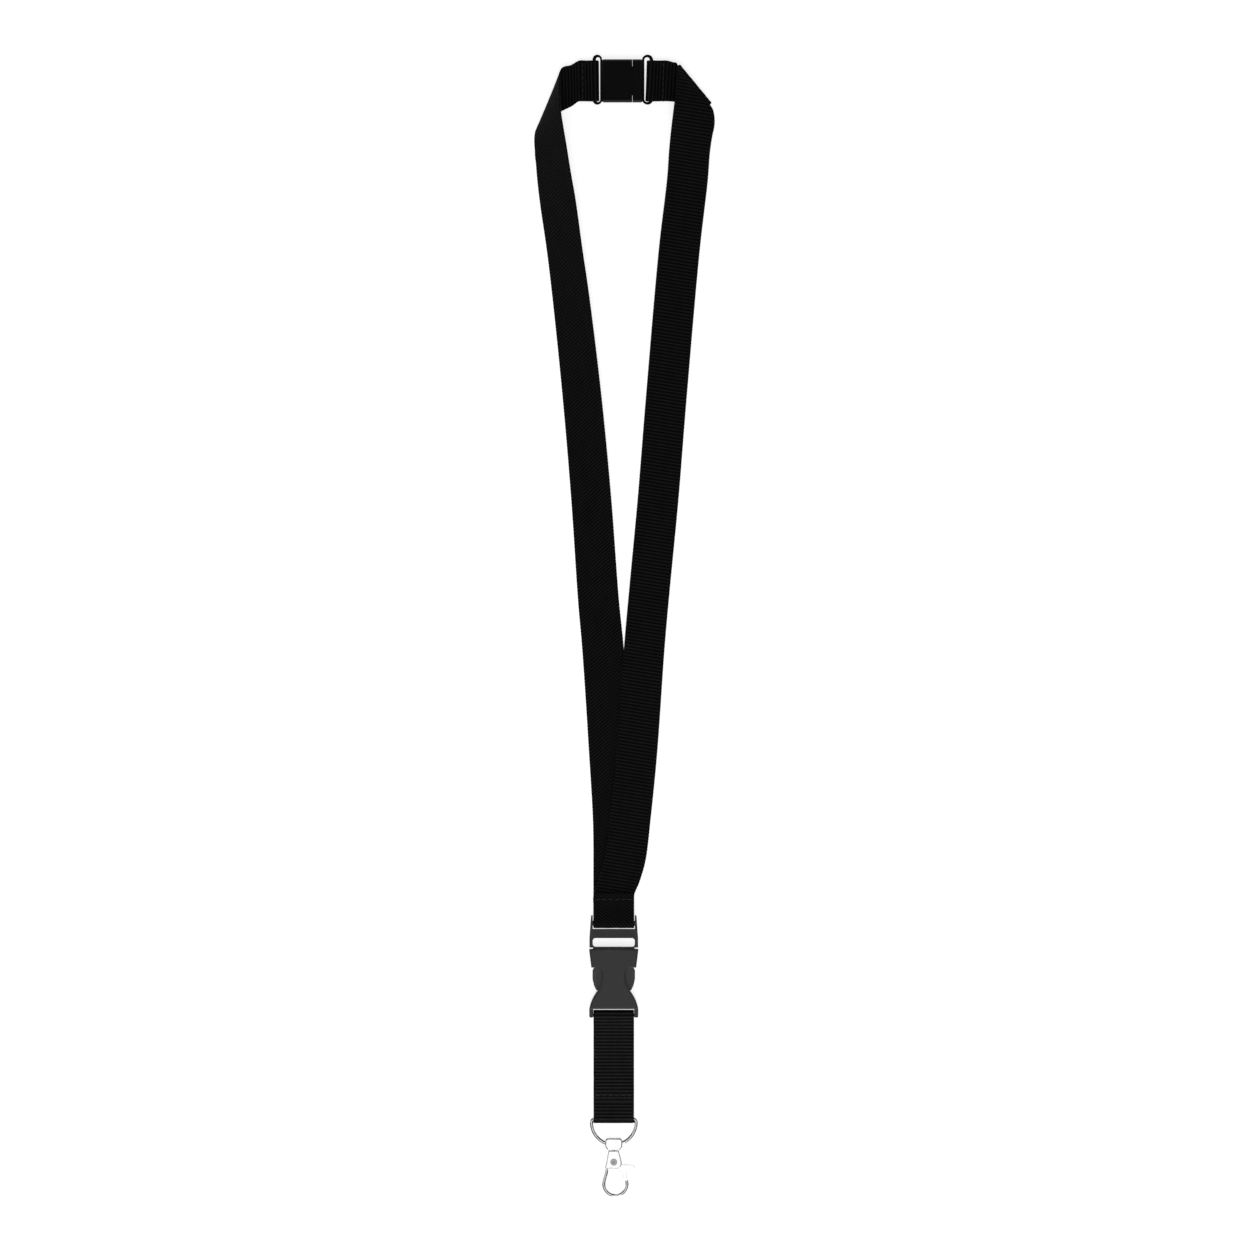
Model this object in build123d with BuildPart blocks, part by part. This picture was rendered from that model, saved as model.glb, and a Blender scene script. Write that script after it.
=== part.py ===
from build123d import *
import math
import os

# Neck lanyard lying flat: a 20 mm webbing neck loop with a breakaway clasp at the nape, a side-release
# buckle, a short webbing hanger, a D-ring and a swivel trigger hook.
# +Z is up from the table, +Y runs from the hook to the nape, +X to the right. Millimetres.

os.makedirs("parts", exist_ok=True)

# ---- driving dimensions ----
STRAP_WIDTH = 20.0
HANGER_WIDTH = 19.8
STRAP_THICK = 1.0
LOOP_SLACK = 0.45
BAR_SLACK = 0.2
LAYER_GAP = 0.05
FIT_GAP = 0.25
PIN_GAP = 0.06
OVERCUT = 0.4
BAR_BITE = 0.4

# breakaway clasp
CLASP_Y = 266.9
CLASP_Z = 3.0
CLASP_HEIGHT = 20.9
LOOP_Y = 267.5
CLASP_THICK = 6.0
SOCKET_LEFT = -11.5
SPLIT_X = 3.7
PLUG_RIGHT = 8.8
LOOP_HEIGHT = 24.4
LOOP_SLOT_HEIGHT = 22.0
LOOP_BAR = 1.7
LOOP_BAR_LEFT_X = -15.05
LOOP_BAR_RIGHT_X = 12.95
TONGUE_LENGTH = 8.0
TONGUE_WIDTH = 14.0
TONGUE_THICK = 2.6
TONGUE_GAP = 0.3
TONGUE_CHAMFER = 0.6
FORK_LENGTH = 6.4
FORK_WIDTH = 7.0
CLASP_CORNER = 1.2
CLASP_CHAMFER = 0.9

# side-release buckle
BUCKLE_X = -5.5
BUCKLE_Z = 4.0
BAR_RADIUS = 1.25
TOP_BAR_Y = -145.5
RAIL_TOP_Y = -141.6
RIB_TOP_Y = -148.3
RIB_BOTTOM_Y = -152.7
CROSSBAR_TOP_Y = -157.0
CROSSBAR_BOTTOM_Y = -160.0
RAIL_INNER = 10.3
MALE_THICK = 4.4
MOUTH_TOP_Y = -157.6
CUTOUT_TOP_Y = -167.1
CUTOUT_BOTTOM_Y = -178.6
BLOCK_BOTTOM_Y = -187.4
FEMALE_BOTTOM_Y = -191.6
FEMALE_THICK = 8.0
PLATE_THICK = 1.2
CAVITY_HALF = 10.5
CROSSBAR_HALF = 10.2
ARM_PIVOT_X = 8.2
ARM_PIVOT_Y = -161.5
ARM_THICK = 3.6
ARM_ROOT_RADIUS = 1.1
HANGER_BAR_Y = -190.5
HANGER_BAR_RADIUS = 0.9

# ring and hook
METAL_Z = 2.7
RING_WIRE = 0.95
RING_BAR_Y = -241.4
RING_CENTRE_Y = -243.0
RING_RADIUS = 10.95
SADDLE_TOP_Y = -250.6
SADDLE_BOTTOM_Y = -256.6
SADDLE_WIDTH = 8.6
SADDLE_THICK = 5.0
PIN_RADIUS = 0.85
HOOK_TOP_Y = -256.8
RIVET_Y = -262.4
HOOK_THICK = 3.4
GATE_THICK = 1.5
HOOK_WIRE = 0.9

# stitching
STITCH_PITCH = 3.1
STITCH_LENGTH = 2.1
STITCH_WIDTH = 0.5
STITCH_PROUD = 0.22
STITCH_COUNT = 6
SEAM_Y = -133.8
LOOP_SEAM_LEFT_X = -20.6
LOOP_SEAM_RIGHT_X = 18.7


# ---- webbing: each station across a strap is its two edge points ----
def ribbon_sections(stations):
    """Planes square to the strap's surface at each station, with the strap's width there."""
    middles = [(Vector(*first) + Vector(*second)) / 2 for first, second in stations]
    sections = []
    for index, (first, second) in enumerate(stations):
        across = Vector(*first) - Vector(*second)
        before = middles[max(index - 1, 0)]
        after = middles[min(index + 1, len(stations) - 1)]
        along = (after - before).normalized()
        unit = across.normalized()
        forward = along - unit * along.dot(unit)
        sections.append((Plane(origin=middles[index], x_dir=unit, z_dir=forward), across.length))
    return sections


def wrap_round(radius, start, end, steps):
    """Offsets (outward, up) along a turn of webbing round a bar, angles in degrees."""
    angles = [start + (end - start) * step / steps for step in range(steps + 1)]
    return [(radius * math.cos(math.radians(a)), radius * math.sin(math.radians(a))) for a in angles]


def across_y(x, z):
    """A station that spans the clasp's loop, with its first edge towards +Y."""
    return ((x, CLASP_Y + STRAP_WIDTH / 2, z), (x, CLASP_Y - STRAP_WIDTH / 2, z))


def across_x(y, z, side=1):
    """A station that spans the buckle's top bar; side 1 puts its first edge towards +X."""
    return ((BUCKLE_X + side * STRAP_WIDTH / 2, y, z), (BUCKLE_X - side * STRAP_WIDTH / 2, y, z))


def fold_over(top, foot, radius, steps=6):
    """Stations round a flat fold: the strap comes in below the crease and leaves above it."""
    run_x, run_y = foot[0] - top[0], foot[1] - top[1]
    length = math.hypot(run_x, run_y)
    stations = []
    for step in range(steps + 1):
        angle = math.radians(-90 + 180 * step / steps)
        out, up = radius * math.cos(angle), radius * math.sin(angle)
        shift = (-run_y / length * out, run_x / length * out, up)
        stations.append(tuple(tuple(a + b for a, b in zip(edge, shift)) for edge in (top, foot)))
    return stations


# The neck strap's sewn end: under the loop's bar, round it, then out over the top.
LOOP_TURN = LOOP_BAR / 2 + LOOP_SLACK + STRAP_THICK / 2
LOOP_LAYER = STRAP_THICK / 2 + LAYER_GAP
left_stations = [across_y(-22.5, CLASP_Z - LOOP_LAYER), across_y(-19.0, CLASP_Z - LOOP_LAYER)]
for out, up in wrap_round(LOOP_TURN, -100, 100, 8):
    left_stations.append(across_y(LOOP_BAR_LEFT_X + out, CLASP_Z + up))
left_stations += [across_y(-19.0, CLASP_Z + LOOP_LAYER), across_y(-22.3, CLASP_Z + LOOP_LAYER)]

LEFT_LEG_TOP = ((-26.6, 222.4, 12.2), (-43.0, 219.0, 0.9))

# The left corner rolls over a slanting crease, so the leg comes down in front, standing on its outer edge.
left_stations += [
    ((-26.6, 274.6, 4.0), (-26.2, 254.4, 3.0)),
    ((-29.4, 274.0, 4.6), (-31.5, 251.8, 2.2)),
    ((-31.2, 272.7, 5.6), (-38.6, 247.2, 1.3)),
    ((-31.7, 269.8, 7.4), (-43.2, 243.0, 1.0)),
    ((-31.8, 264.0, 9.6), (-44.2, 239.6, 1.5)),
    ((-31.6, 257.4, 11.4), (-44.3, 236.4, 1.9)),
    ((-31.3, 251.4, 12.4), (-44.1, 233.0, 1.9)),
    ((-30.3, 244.9, 12.8), (-44.0, 229.8, 1.6)),
    ((-28.6, 235.0, 12.6), (-43.6, 226.4, 1.2)),
    LEFT_LEG_TOP,
    ((-24.2, 208.8, 11.5), (-41.6, 206.8, 0.8)),
    ((-21.0, 185.8, 10.4), (-38.3, 184.0, 0.8)),
    ((-17.4, 161.2, 9.0), (-35.4, 159.4, 0.7)),
    ((-11.4, 111.8, 6.0), (-30.4, 110.0, 0.7)),
    ((-6.7, 62.6, 2.8), (-26.3, 61.0, 0.6)),
    ((-3.0, 13.4, 0.7), (-23.0, 12.0, 0.55)),
    ((-0.6, -11.0, 0.55), (-20.9, -12.4, 0.55)),
    ((2.3, -60.0, 0.55), (-17.7, -61.4, 0.55)),
    ((4.3, -96.0, 0.55), (-15.7, -96.8, 0.55)),
]

# Sewn stack above the buckle, then the left strap goes round the top bar and its end is folded up in front.
STACK_BACK_Z = 1.4
STACK_MIDDLE_Z = 2.75
STACK_FRONT_Z = 4.1
TAB_END_Y = -130.8
TOP_TURN = BAR_RADIUS + BAR_SLACK + STRAP_THICK / 2
left_stations += [across_x(-126.0, STACK_BACK_Z), across_x(-138.5, STACK_BACK_Z)]
for out, up in wrap_round(TOP_TURN, -100, 100, 8):
    left_stations.append(across_x(TOP_BAR_Y - out, BUCKLE_Z + up))
left_stations += [across_x(-138.9, STACK_FRONT_Z), across_x(TAB_END_Y, STACK_FRONT_Z)]

# Each neck strap is one piece of webbing, held as two solids that meet face to face where its leg begins.
left_sections = ribbon_sections(left_stations)
leg_start = left_stations.index(LEFT_LEG_TOP)
with BuildPart() as left_nape:
    for plane, width in left_sections[: leg_start + 1]:
        with BuildSketch(plane):
            Rectangle(width, STRAP_THICK)
    loft(ruled=True)

with BuildPart() as left_leg:
    for plane, width in left_sections[leg_start:]:
        with BuildSketch(plane):
            Rectangle(width, STRAP_THICK)
    loft(ruled=True)

neck_strap_left = Compound(label="neck_strap_left", children=[left_nape.part, left_leg.part])
export_step(neck_strap_left, "parts/neck_strap_left.step")

CREASE_TOP = (25.9, 274.2, 5.0)
CREASE_FOOT = (41.6, 255.4, 2.0)
CREASE_RADIUS = 0.8
RIGHT_LEG_TOP = ((20.6, 219.4, 4.2), (40.6, 218.4, 0.9))

# The right strap: the same sewn end, a diagonal fold, and a leg that crosses over the left one.
right_stations = [across_y(20.2, CLASP_Z - LOOP_LAYER), across_y(16.9, CLASP_Z - LOOP_LAYER)]
for out, up in wrap_round(LOOP_TURN, -100, 100, 8):
    right_stations.append(across_y(LOOP_BAR_RIGHT_X - out, CLASP_Z + up))
right_stations += [across_y(16.9, CLASP_Z + LOOP_LAYER), across_y(20.4, CLASP_Z + LOOP_LAYER)]
right_stations += [
    ((23.8, 276.0, 3.8), (27.0, 256.4, 2.4)),
    ((25.2, 275.8, 4.0), (34.0, 255.4, 1.6)),
    *fold_over(CREASE_TOP, CREASE_FOOT, CREASE_RADIUS),
    ((26.0, 271.4, 6.9), (43.2, 252.4, 2.4)),
    ((25.6, 267.4, 8.0), (43.9, 248.6, 2.2)),
    ((24.6, 260.0, 9.0), (43.8, 244.6, 2.1)),
    ((23.7, 252.6, 8.8), (42.9, 240.4, 2.0)),
    ((22.6, 243.6, 7.6), (42.2, 236.2, 1.6)),
    ((21.6, 233.6, 5.8), (41.5, 230.6, 1.2)),
    RIGHT_LEG_TOP,
    ((16.6, 185.2, 2.4), (36.6, 183.6, 0.8)),
    ((10.2, 112.0, 1.2), (30.1, 110.0, 0.8)),
    ((6.2, 62.6, 0.9), (26.1, 60.6, 0.8)),
    ((2.4, 22.0, 1.3), (22.2, 20.2, 0.9)),
    ((-0.3, -8.0, 1.95), (19.5, -9.8, 1.7)),
    ((-4.0, -60.0, 1.95), (15.8, -62.0, 1.95)),
    ((-7.2, -92.0, 2.05), (12.6, -94.4, 2.05)),
    ((-9.6, -112.0, 2.4), (10.0, -115.4, 2.4)),
    ((-12.6, -122.6, STACK_MIDDLE_Z), (7.0, -125.6, STACK_MIDDLE_Z)),
]
right_stations += [across_x(-132.0, STACK_MIDDLE_Z, side=-1), across_x(-137.2, STACK_MIDDLE_Z, side=-1)]

right_stations.reverse()
right_sections = ribbon_sections(right_stations)
leg_end = right_stations.index(RIGHT_LEG_TOP)
with BuildPart() as right_leg:
    for plane, width in right_sections[: leg_end + 1]:
        with BuildSketch(plane):
            Rectangle(width, STRAP_THICK)
    loft(ruled=True)

with BuildPart() as right_nape:
    for plane, width in right_sections[leg_end:]:
        with BuildSketch(plane):
            Rectangle(width, STRAP_THICK)
    loft(ruled=True)

neck_strap_right = Compound(label="neck_strap_right", children=[right_leg.part, right_nape.part])
export_step(neck_strap_right, "parts/neck_strap_right.step")

# The hanger is one band doubled on itself: its layers part only to go round the buckle's and the ring's bars.
UPPER_TURN = HANGER_BAR_RADIUS + BAR_SLACK + STRAP_THICK / 2
LOWER_TURN = RING_WIRE + BAR_SLACK + STRAP_THICK / 2
HANGER_LAYER = STRAP_THICK / 2 + LAYER_GAP
HANGER_TOP_Z = 3.55
HANGER_FOOT_Z = 3.1
HANGER_TOP_Y = -197.5
HANGER_FOOT_Y = -235.0
HANGER_SEAM_Y = -229.8
upper_turn = [(HANGER_BAR_Y + dy, BUCKLE_Z + dz) for dy, dz in wrap_round(UPPER_TURN, 105, -105, 10)]
lower_turn = [(RING_BAR_Y - dy, METAL_Z + dz) for dy, dz in wrap_round(LOWER_TURN, -105, 105, 10)]
back_layer = [(HANGER_TOP_Y, HANGER_TOP_Z - HANGER_LAYER), (HANGER_FOOT_Y, HANGER_FOOT_Z - HANGER_LAYER)]
front_layer = [(HANGER_FOOT_Y, HANGER_FOOT_Z + HANGER_LAYER), (HANGER_TOP_Y, HANGER_TOP_Z + HANGER_LAYER)]
with BuildPart() as hanger_strap:
    with BuildSketch(Plane.YZ.offset(BUCKLE_X - HANGER_WIDTH / 2)):
        with BuildLine():
            Polyline(*upper_turn, *back_layer, *lower_turn, *front_layer, close=True)
        make_face()
        offset(amount=STRAP_THICK / 2, kind=Kind.INTERSECTION)
        with BuildLine():
            Polyline(*upper_turn, back_layer[0], front_layer[1], close=True)
        upper_eye = make_face(mode=Mode.PRIVATE)
        offset(upper_eye, amount=-STRAP_THICK / 2, kind=Kind.INTERSECTION, mode=Mode.SUBTRACT)
        with BuildLine():
            Polyline(*lower_turn, front_layer[0], back_layer[1], close=True)
        lower_eye = make_face(mode=Mode.PRIVATE)
        offset(lower_eye, amount=-STRAP_THICK / 2, kind=Kind.INTERSECTION, mode=Mode.SUBTRACT)
    extrude(amount=HANGER_WIDTH)

hanger_strap.part.label = "hanger_strap"
export_step(hanger_strap.part, "parts/hanger_strap.step")


# ---- stitching: rows of raised thread runs ----
def stitch_plane(x, y, z):
    return Plane(origin=(x, y, z), x_dir=(1, 0, 0), z_dir=(0, 0, 1))


with BuildPart() as seam_stitches:
    with BuildSketch(stitch_plane(BUCKLE_X, SEAM_Y, STACK_FRONT_Z + STRAP_THICK / 2)):
        with GridLocations(STITCH_PITCH, 1, STITCH_COUNT, 1):
            SlotOverall(STITCH_LENGTH, STITCH_WIDTH)
    extrude(amount=STITCH_PROUD)

seam_stitches.part.label = "seam_stitches"
export_step(seam_stitches.part, "parts/seam_stitches.step")

with BuildPart() as loop_stitches_left:
    with BuildSketch(stitch_plane(LOOP_SEAM_LEFT_X, CLASP_Y, CLASP_Z + LOOP_LAYER + STRAP_THICK / 2)):
        with GridLocations(1, STITCH_PITCH, 1, STITCH_COUNT):
            SlotOverall(STITCH_LENGTH, STITCH_WIDTH, rotation=90)
    extrude(amount=STITCH_PROUD)

loop_stitches_left.part.label = "loop_stitches_left"
export_step(loop_stitches_left.part, "parts/loop_stitches_left.step")

with BuildPart() as loop_stitches_right:
    with BuildSketch(stitch_plane(LOOP_SEAM_RIGHT_X, CLASP_Y, CLASP_Z + LOOP_LAYER + STRAP_THICK / 2)):
        with GridLocations(1, STITCH_PITCH, 1, STITCH_COUNT):
            SlotOverall(STITCH_LENGTH, STITCH_WIDTH, rotation=90)
    extrude(amount=STITCH_PROUD)

loop_stitches_right.part.label = "loop_stitches_right"
export_step(loop_stitches_right.part, "parts/loop_stitches_right.step")

seam_share = (HANGER_SEAM_Y - HANGER_FOOT_Y) / (HANGER_TOP_Y - HANGER_FOOT_Y)
hanger_middle_z = HANGER_FOOT_Z + seam_share * (HANGER_TOP_Z - HANGER_FOOT_Z)
hanger_surface_z = hanger_middle_z + HANGER_LAYER + STRAP_THICK / 2
with BuildPart() as hanger_stitches:
    with BuildSketch(stitch_plane(BUCKLE_X, HANGER_SEAM_Y, hanger_surface_z)):
        with GridLocations(STITCH_PITCH, 1, STITCH_COUNT, 1):
            SlotOverall(STITCH_LENGTH, STITCH_WIDTH)
    extrude(amount=STITCH_PROUD)

hanger_stitches.part.label = "hanger_stitches"
export_step(hanger_stitches.part, "parts/hanger_stitches.step")

# ---- breakaway clasp ----
LOOP_WIDTH_LEFT = 4.7
LOOP_WIDTH_RIGHT = 5.5
SLOT_WIDTH_LEFT = 2.0
SLOT_WIDTH_RIGHT = 2.6
LOOP_THICK = 2.0
PANEL_DEPTH = 0.3
PANEL_RIM = 1.3
PANEL_CORNER = 0.8
loop_left_centre = LOOP_BAR_LEFT_X - LOOP_BAR / 2 + LOOP_WIDTH_LEFT / 2
slot_left_centre = LOOP_BAR_LEFT_X + LOOP_BAR / 2 + SLOT_WIDTH_LEFT / 2
loop_right_centre = LOOP_BAR_RIGHT_X + LOOP_BAR / 2 - LOOP_WIDTH_RIGHT / 2
slot_right_centre = LOOP_BAR_RIGHT_X - LOOP_BAR / 2 - SLOT_WIDTH_RIGHT / 2
socket_length = SPLIT_X - FIT_GAP / 2 - SOCKET_LEFT
socket_centre = SOCKET_LEFT + socket_length / 2
plug_length = PLUG_RIGHT - SPLIT_X
plug_centre = SPLIT_X + plug_length / 2

with BuildPart() as clasp_socket:
    with BuildSketch(Plane.XY.offset(CLASP_Z - CLASP_THICK / 2)):
        with Locations((socket_centre, CLASP_Y)):
            Rectangle(socket_length, CLASP_HEIGHT)
    extrude(amount=CLASP_THICK)
    fillet(clasp_socket.edges().filter_by(Axis.Z).group_by(Axis.X)[0], radius=CLASP_CORNER)
    chamfer(clasp_socket.edges().group_by(Axis.X)[0], length=CLASP_CHAMFER)
    with BuildSketch(Plane.XY.offset(CLASP_Z + CLASP_THICK / 2)):
        with Locations((socket_centre, CLASP_Y)):
            RectangleRounded(socket_length - 2 * PANEL_RIM, CLASP_HEIGHT - 2 * PANEL_RIM, PANEL_CORNER)
    extrude(amount=-PANEL_DEPTH, mode=Mode.SUBTRACT)
    with BuildSketch(Plane.YZ.offset(SPLIT_X)):
        with Locations((CLASP_Y, CLASP_Z)):
            Rectangle(TONGUE_WIDTH + 2 * TONGUE_GAP, TONGUE_THICK + 2 * TONGUE_GAP)
    extrude(amount=-(TONGUE_LENGTH + 2 * TONGUE_GAP), mode=Mode.SUBTRACT)
    with BuildSketch(Plane.XY.offset(CLASP_Z - LOOP_THICK / 2)):
        with Locations((loop_left_centre, LOOP_Y)):
            SlotOverall(LOOP_HEIGHT, LOOP_WIDTH_LEFT, rotation=90)
    extrude(amount=LOOP_THICK)
    with BuildSketch(Plane.XY.offset(CLASP_Z - LOOP_THICK / 2)):
        with Locations((slot_left_centre, LOOP_Y)):
            SlotOverall(LOOP_SLOT_HEIGHT, SLOT_WIDTH_LEFT, rotation=90)
    extrude(amount=LOOP_THICK, mode=Mode.SUBTRACT)

clasp_socket.part.label = "clasp_socket"
export_step(clasp_socket.part, "parts/clasp_socket.step")

with BuildPart() as clasp_plug:
    with BuildSketch(Plane.XY.offset(CLASP_Z - CLASP_THICK / 2)):
        with Locations((plug_centre, CLASP_Y)):
            Rectangle(plug_length, CLASP_HEIGHT)
    extrude(amount=CLASP_THICK)
    fillet(clasp_plug.edges().filter_by(Axis.Z).group_by(Axis.X)[-1], radius=CLASP_CORNER)
    chamfer(clasp_plug.edges().group_by(Axis.X)[-1], length=CLASP_CHAMFER)
    with BuildSketch(Plane.XY.offset(CLASP_Z - TONGUE_THICK / 2)):
        with Locations((SPLIT_X - TONGUE_LENGTH / 2, CLASP_Y)):
            Rectangle(TONGUE_LENGTH, TONGUE_WIDTH)
        with Locations((SPLIT_X - TONGUE_LENGTH + FORK_LENGTH / 2, CLASP_Y)):
            Rectangle(FORK_LENGTH, FORK_WIDTH, mode=Mode.SUBTRACT)
    extrude(amount=TONGUE_THICK)
    chamfer(clasp_plug.edges().group_by(Axis.X)[0], length=TONGUE_CHAMFER)
    with BuildSketch(Plane.XY.offset(CLASP_Z - LOOP_THICK / 2)):
        with Locations((loop_right_centre, LOOP_Y)):
            SlotOverall(LOOP_HEIGHT, LOOP_WIDTH_RIGHT, rotation=90)
    extrude(amount=LOOP_THICK)
    with BuildSketch(Plane.XY.offset(CLASP_Z - LOOP_THICK / 2)):
        with Locations((slot_right_centre, LOOP_Y)):
            SlotOverall(LOOP_SLOT_HEIGHT, SLOT_WIDTH_RIGHT, rotation=90)
    extrude(amount=LOOP_THICK, mode=Mode.SUBTRACT)

clasp_plug.part.label = "clasp_plug"
export_step(clasp_plug.part, "parts/clasp_plug.step")

# ---- side-release buckle, male half: a ladder frame with a guide and two sprung arms ----
RAIL_OUTER_TOP = 11.1
RAIL_OUTER_BOTTOM = 11.9
RAIL_FOOT_Y = MOUTH_TOP_Y + 0.3
WINDOW_CORNER = 1.4
RAIL_ROUND = 0.25
GUIDE_HALF = 2.0
GUIDE_THICK = 2.6
GUIDE_END_Y = -175.5
RIB_PITCH = 1.3
RIB_GROOVE = 0.6
RIB_COUNT = 15
RIB_DEPTH = 0.55
frame_bottom_z = BUCKLE_Z - MALE_THICK / 2

with BuildPart() as buckle_male_frame:
    with BuildSketch(Plane.XY.offset(frame_bottom_z)):
        with BuildLine():
            Polyline(
                (BUCKLE_X - RAIL_OUTER_TOP, RAIL_TOP_Y),
                (BUCKLE_X - RAIL_OUTER_BOTTOM, RIB_BOTTOM_Y),
                (BUCKLE_X - RAIL_OUTER_BOTTOM, RAIL_FOOT_Y),
                (BUCKLE_X - CROSSBAR_HALF, RAIL_FOOT_Y),
                (BUCKLE_X - CROSSBAR_HALF, CROSSBAR_BOTTOM_Y),
                (BUCKLE_X + CROSSBAR_HALF, CROSSBAR_BOTTOM_Y),
                (BUCKLE_X + CROSSBAR_HALF, RAIL_FOOT_Y),
                (BUCKLE_X + RAIL_OUTER_BOTTOM, RAIL_FOOT_Y),
                (BUCKLE_X + RAIL_OUTER_BOTTOM, RIB_BOTTOM_Y),
                (BUCKLE_X + RAIL_OUTER_TOP, RAIL_TOP_Y),
                close=True,
            )
        make_face()
        with Locations((BUCKLE_X, (RAIL_TOP_Y + RIB_TOP_Y) / 2 + 1)):
            Rectangle(2 * RAIL_INNER, RAIL_TOP_Y - RIB_TOP_Y + 2, mode=Mode.SUBTRACT)
        with Locations((BUCKLE_X, (RIB_BOTTOM_Y + CROSSBAR_TOP_Y) / 2)):
            RectangleRounded(2 * RAIL_INNER, RIB_BOTTOM_Y - CROSSBAR_TOP_Y, WINDOW_CORNER, mode=Mode.SUBTRACT)
    extrude(amount=MALE_THICK)
    fillet(buckle_male_frame.edges().filter_by(Axis.Z).group_by(Axis.Y)[-1], radius=RAIL_ROUND)
    with BuildSketch(Plane.YZ.offset(BUCKLE_X - RAIL_INNER - BAR_BITE)):
        with Locations((TOP_BAR_Y, BUCKLE_Z)):
            Circle(BAR_RADIUS)
    extrude(amount=2 * (RAIL_INNER + BAR_BITE))
    with BuildSketch(Plane.XY.offset(BUCKLE_Z + MALE_THICK / 2)):
        with Locations((BUCKLE_X, (RIB_TOP_Y + RIB_BOTTOM_Y) / 2)):
            with GridLocations(RIB_PITCH, 1, RIB_COUNT, 1):
                Rectangle(RIB_GROOVE, RIB_TOP_Y - RIB_BOTTOM_Y + OVERCUT)
    extrude(amount=-RIB_DEPTH, mode=Mode.SUBTRACT)
    with BuildSketch(Plane.XY.offset(BUCKLE_Z - GUIDE_THICK / 2)):
        with Locations((BUCKLE_X, (CROSSBAR_BOTTOM_Y + GUIDE_END_Y) / 2)):
            Rectangle(2 * GUIDE_HALF, CROSSBAR_BOTTOM_Y - GUIDE_END_Y)
    extrude(amount=GUIDE_THICK)

buckle_male_frame.part.label = "buckle_male_frame"
export_step(buckle_male_frame.part, "parts/buckle_male_frame.step")


# One arm's outline, as (outward from the buckle's centreline, along Y); the other arm mirrors it.
ARM_OUTLINE = [
    (7.1, -161.5),
    (6.9, -167.4),
    (5.6, -169.6),
    (5.4, -173.6),
    (7.2, -178.3),
    (8.5, -178.3),
    (9.7, -175.8),
    (10.4, -172.6),
    (10.4, -168.6),
    (9.9, -167.5),
    (9.3, -167.2),
    (9.3, -161.5),
]


# A pocket sunk into both faces along an arm's inner edge. The outer rim stands up as a thumb grip, and the
# thin inner edge tucks in between the female half's plates.
ARM_POCKET = [
    (4.6, -169.2),
    (7.6, -169.4),
    (8.1, -172.4),
    (8.3, -175.4),
    (8.0, -178.6),
    (4.6, -178.6),
]
POCKET_DEPTH = 0.9


def arm_points(outline, side):
    return [(BUCKLE_X + side * out, y) for out, y in outline]


with BuildPart() as buckle_arm_left:
    with BuildSketch(Plane.XY.offset(BUCKLE_Z - ARM_THICK / 2)):
        with BuildLine():
            Polyline(*arm_points(ARM_OUTLINE, -1), close=True)
        make_face()
        with Locations((BUCKLE_X - ARM_PIVOT_X, ARM_PIVOT_Y)):
            Circle(ARM_ROOT_RADIUS)
    extrude(amount=ARM_THICK)
    for face_z, way in ((BUCKLE_Z + ARM_THICK / 2, -1), (BUCKLE_Z - ARM_THICK / 2, 1)):
        with BuildSketch(Plane.XY.offset(face_z)):
            with BuildLine():
                Polyline(*arm_points(ARM_POCKET, -1), close=True)
            make_face()
        extrude(amount=way * POCKET_DEPTH, mode=Mode.SUBTRACT)

buckle_arm_left.part.label = "buckle_arm_left"
export_step(buckle_arm_left.part, "parts/buckle_arm_left.step")

with BuildPart() as buckle_arm_right:
    with BuildSketch(Plane.XY.offset(BUCKLE_Z - ARM_THICK / 2)):
        with BuildLine():
            Polyline(*arm_points(ARM_OUTLINE, 1), close=True)
        make_face()
        with Locations((BUCKLE_X + ARM_PIVOT_X, ARM_PIVOT_Y)):
            Circle(ARM_ROOT_RADIUS)
    extrude(amount=ARM_THICK)
    for face_z, way in ((BUCKLE_Z + ARM_THICK / 2, -1), (BUCKLE_Z - ARM_THICK / 2, 1)):
        with BuildSketch(Plane.XY.offset(face_z)):
            with BuildLine():
                Polyline(*arm_points(ARM_POCKET, 1), close=True)
            make_face()
        extrude(amount=way * POCKET_DEPTH, mode=Mode.SUBTRACT)

buckle_arm_right.part.label = "buckle_arm_right"
export_step(buckle_arm_right.part, "parts/buckle_arm_right.step")

# ---- side-release buckle, female half: two plates joined by the mouth's walls and the lower block ----
CAVITY_END_Y = -180.0
GUIDE_RIB_IN = 2.35
GUIDE_RIB = 0.9
GUIDE_RIB_TOP_Y = -168.0
guide_rib_x = GUIDE_RIB_IN + GUIDE_RIB / 2
HANGER_RAIL_IN = 10.0
HANGER_RAIL_OUT = 12.0
HANGER_RAIL_THICK = 4.6
HANGER_RAIL_TOP_Y = -186.4
HANGER_RAIL_CORNER = 0.8
hanger_rail_x = (HANGER_RAIL_IN + HANGER_RAIL_OUT) / 2
hanger_rail_width = HANGER_RAIL_OUT - HANGER_RAIL_IN


# One side of the female half's face, as (outward from the centreline, along Y), from the mouth down.
MOUTH_CORNER = (12.1, -158.2)
SHOULDER = (HANGER_RAIL_OUT, BLOCK_BOTTOM_Y)
FEMALE_PROFILE = [
    MOUTH_CORNER,
    (11.0, CUTOUT_TOP_Y),
    (9.4, CUTOUT_TOP_Y),
    (6.4, -168.7),
    (5.8, -171.8),
    (6.4, -175.6),
    (8.0, CUTOUT_BOTTOM_Y),
    (10.5, -182.6),
    SHOULDER,
]
FACE_ROUND = 0.8
BACK_ROUND = 0.5


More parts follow.
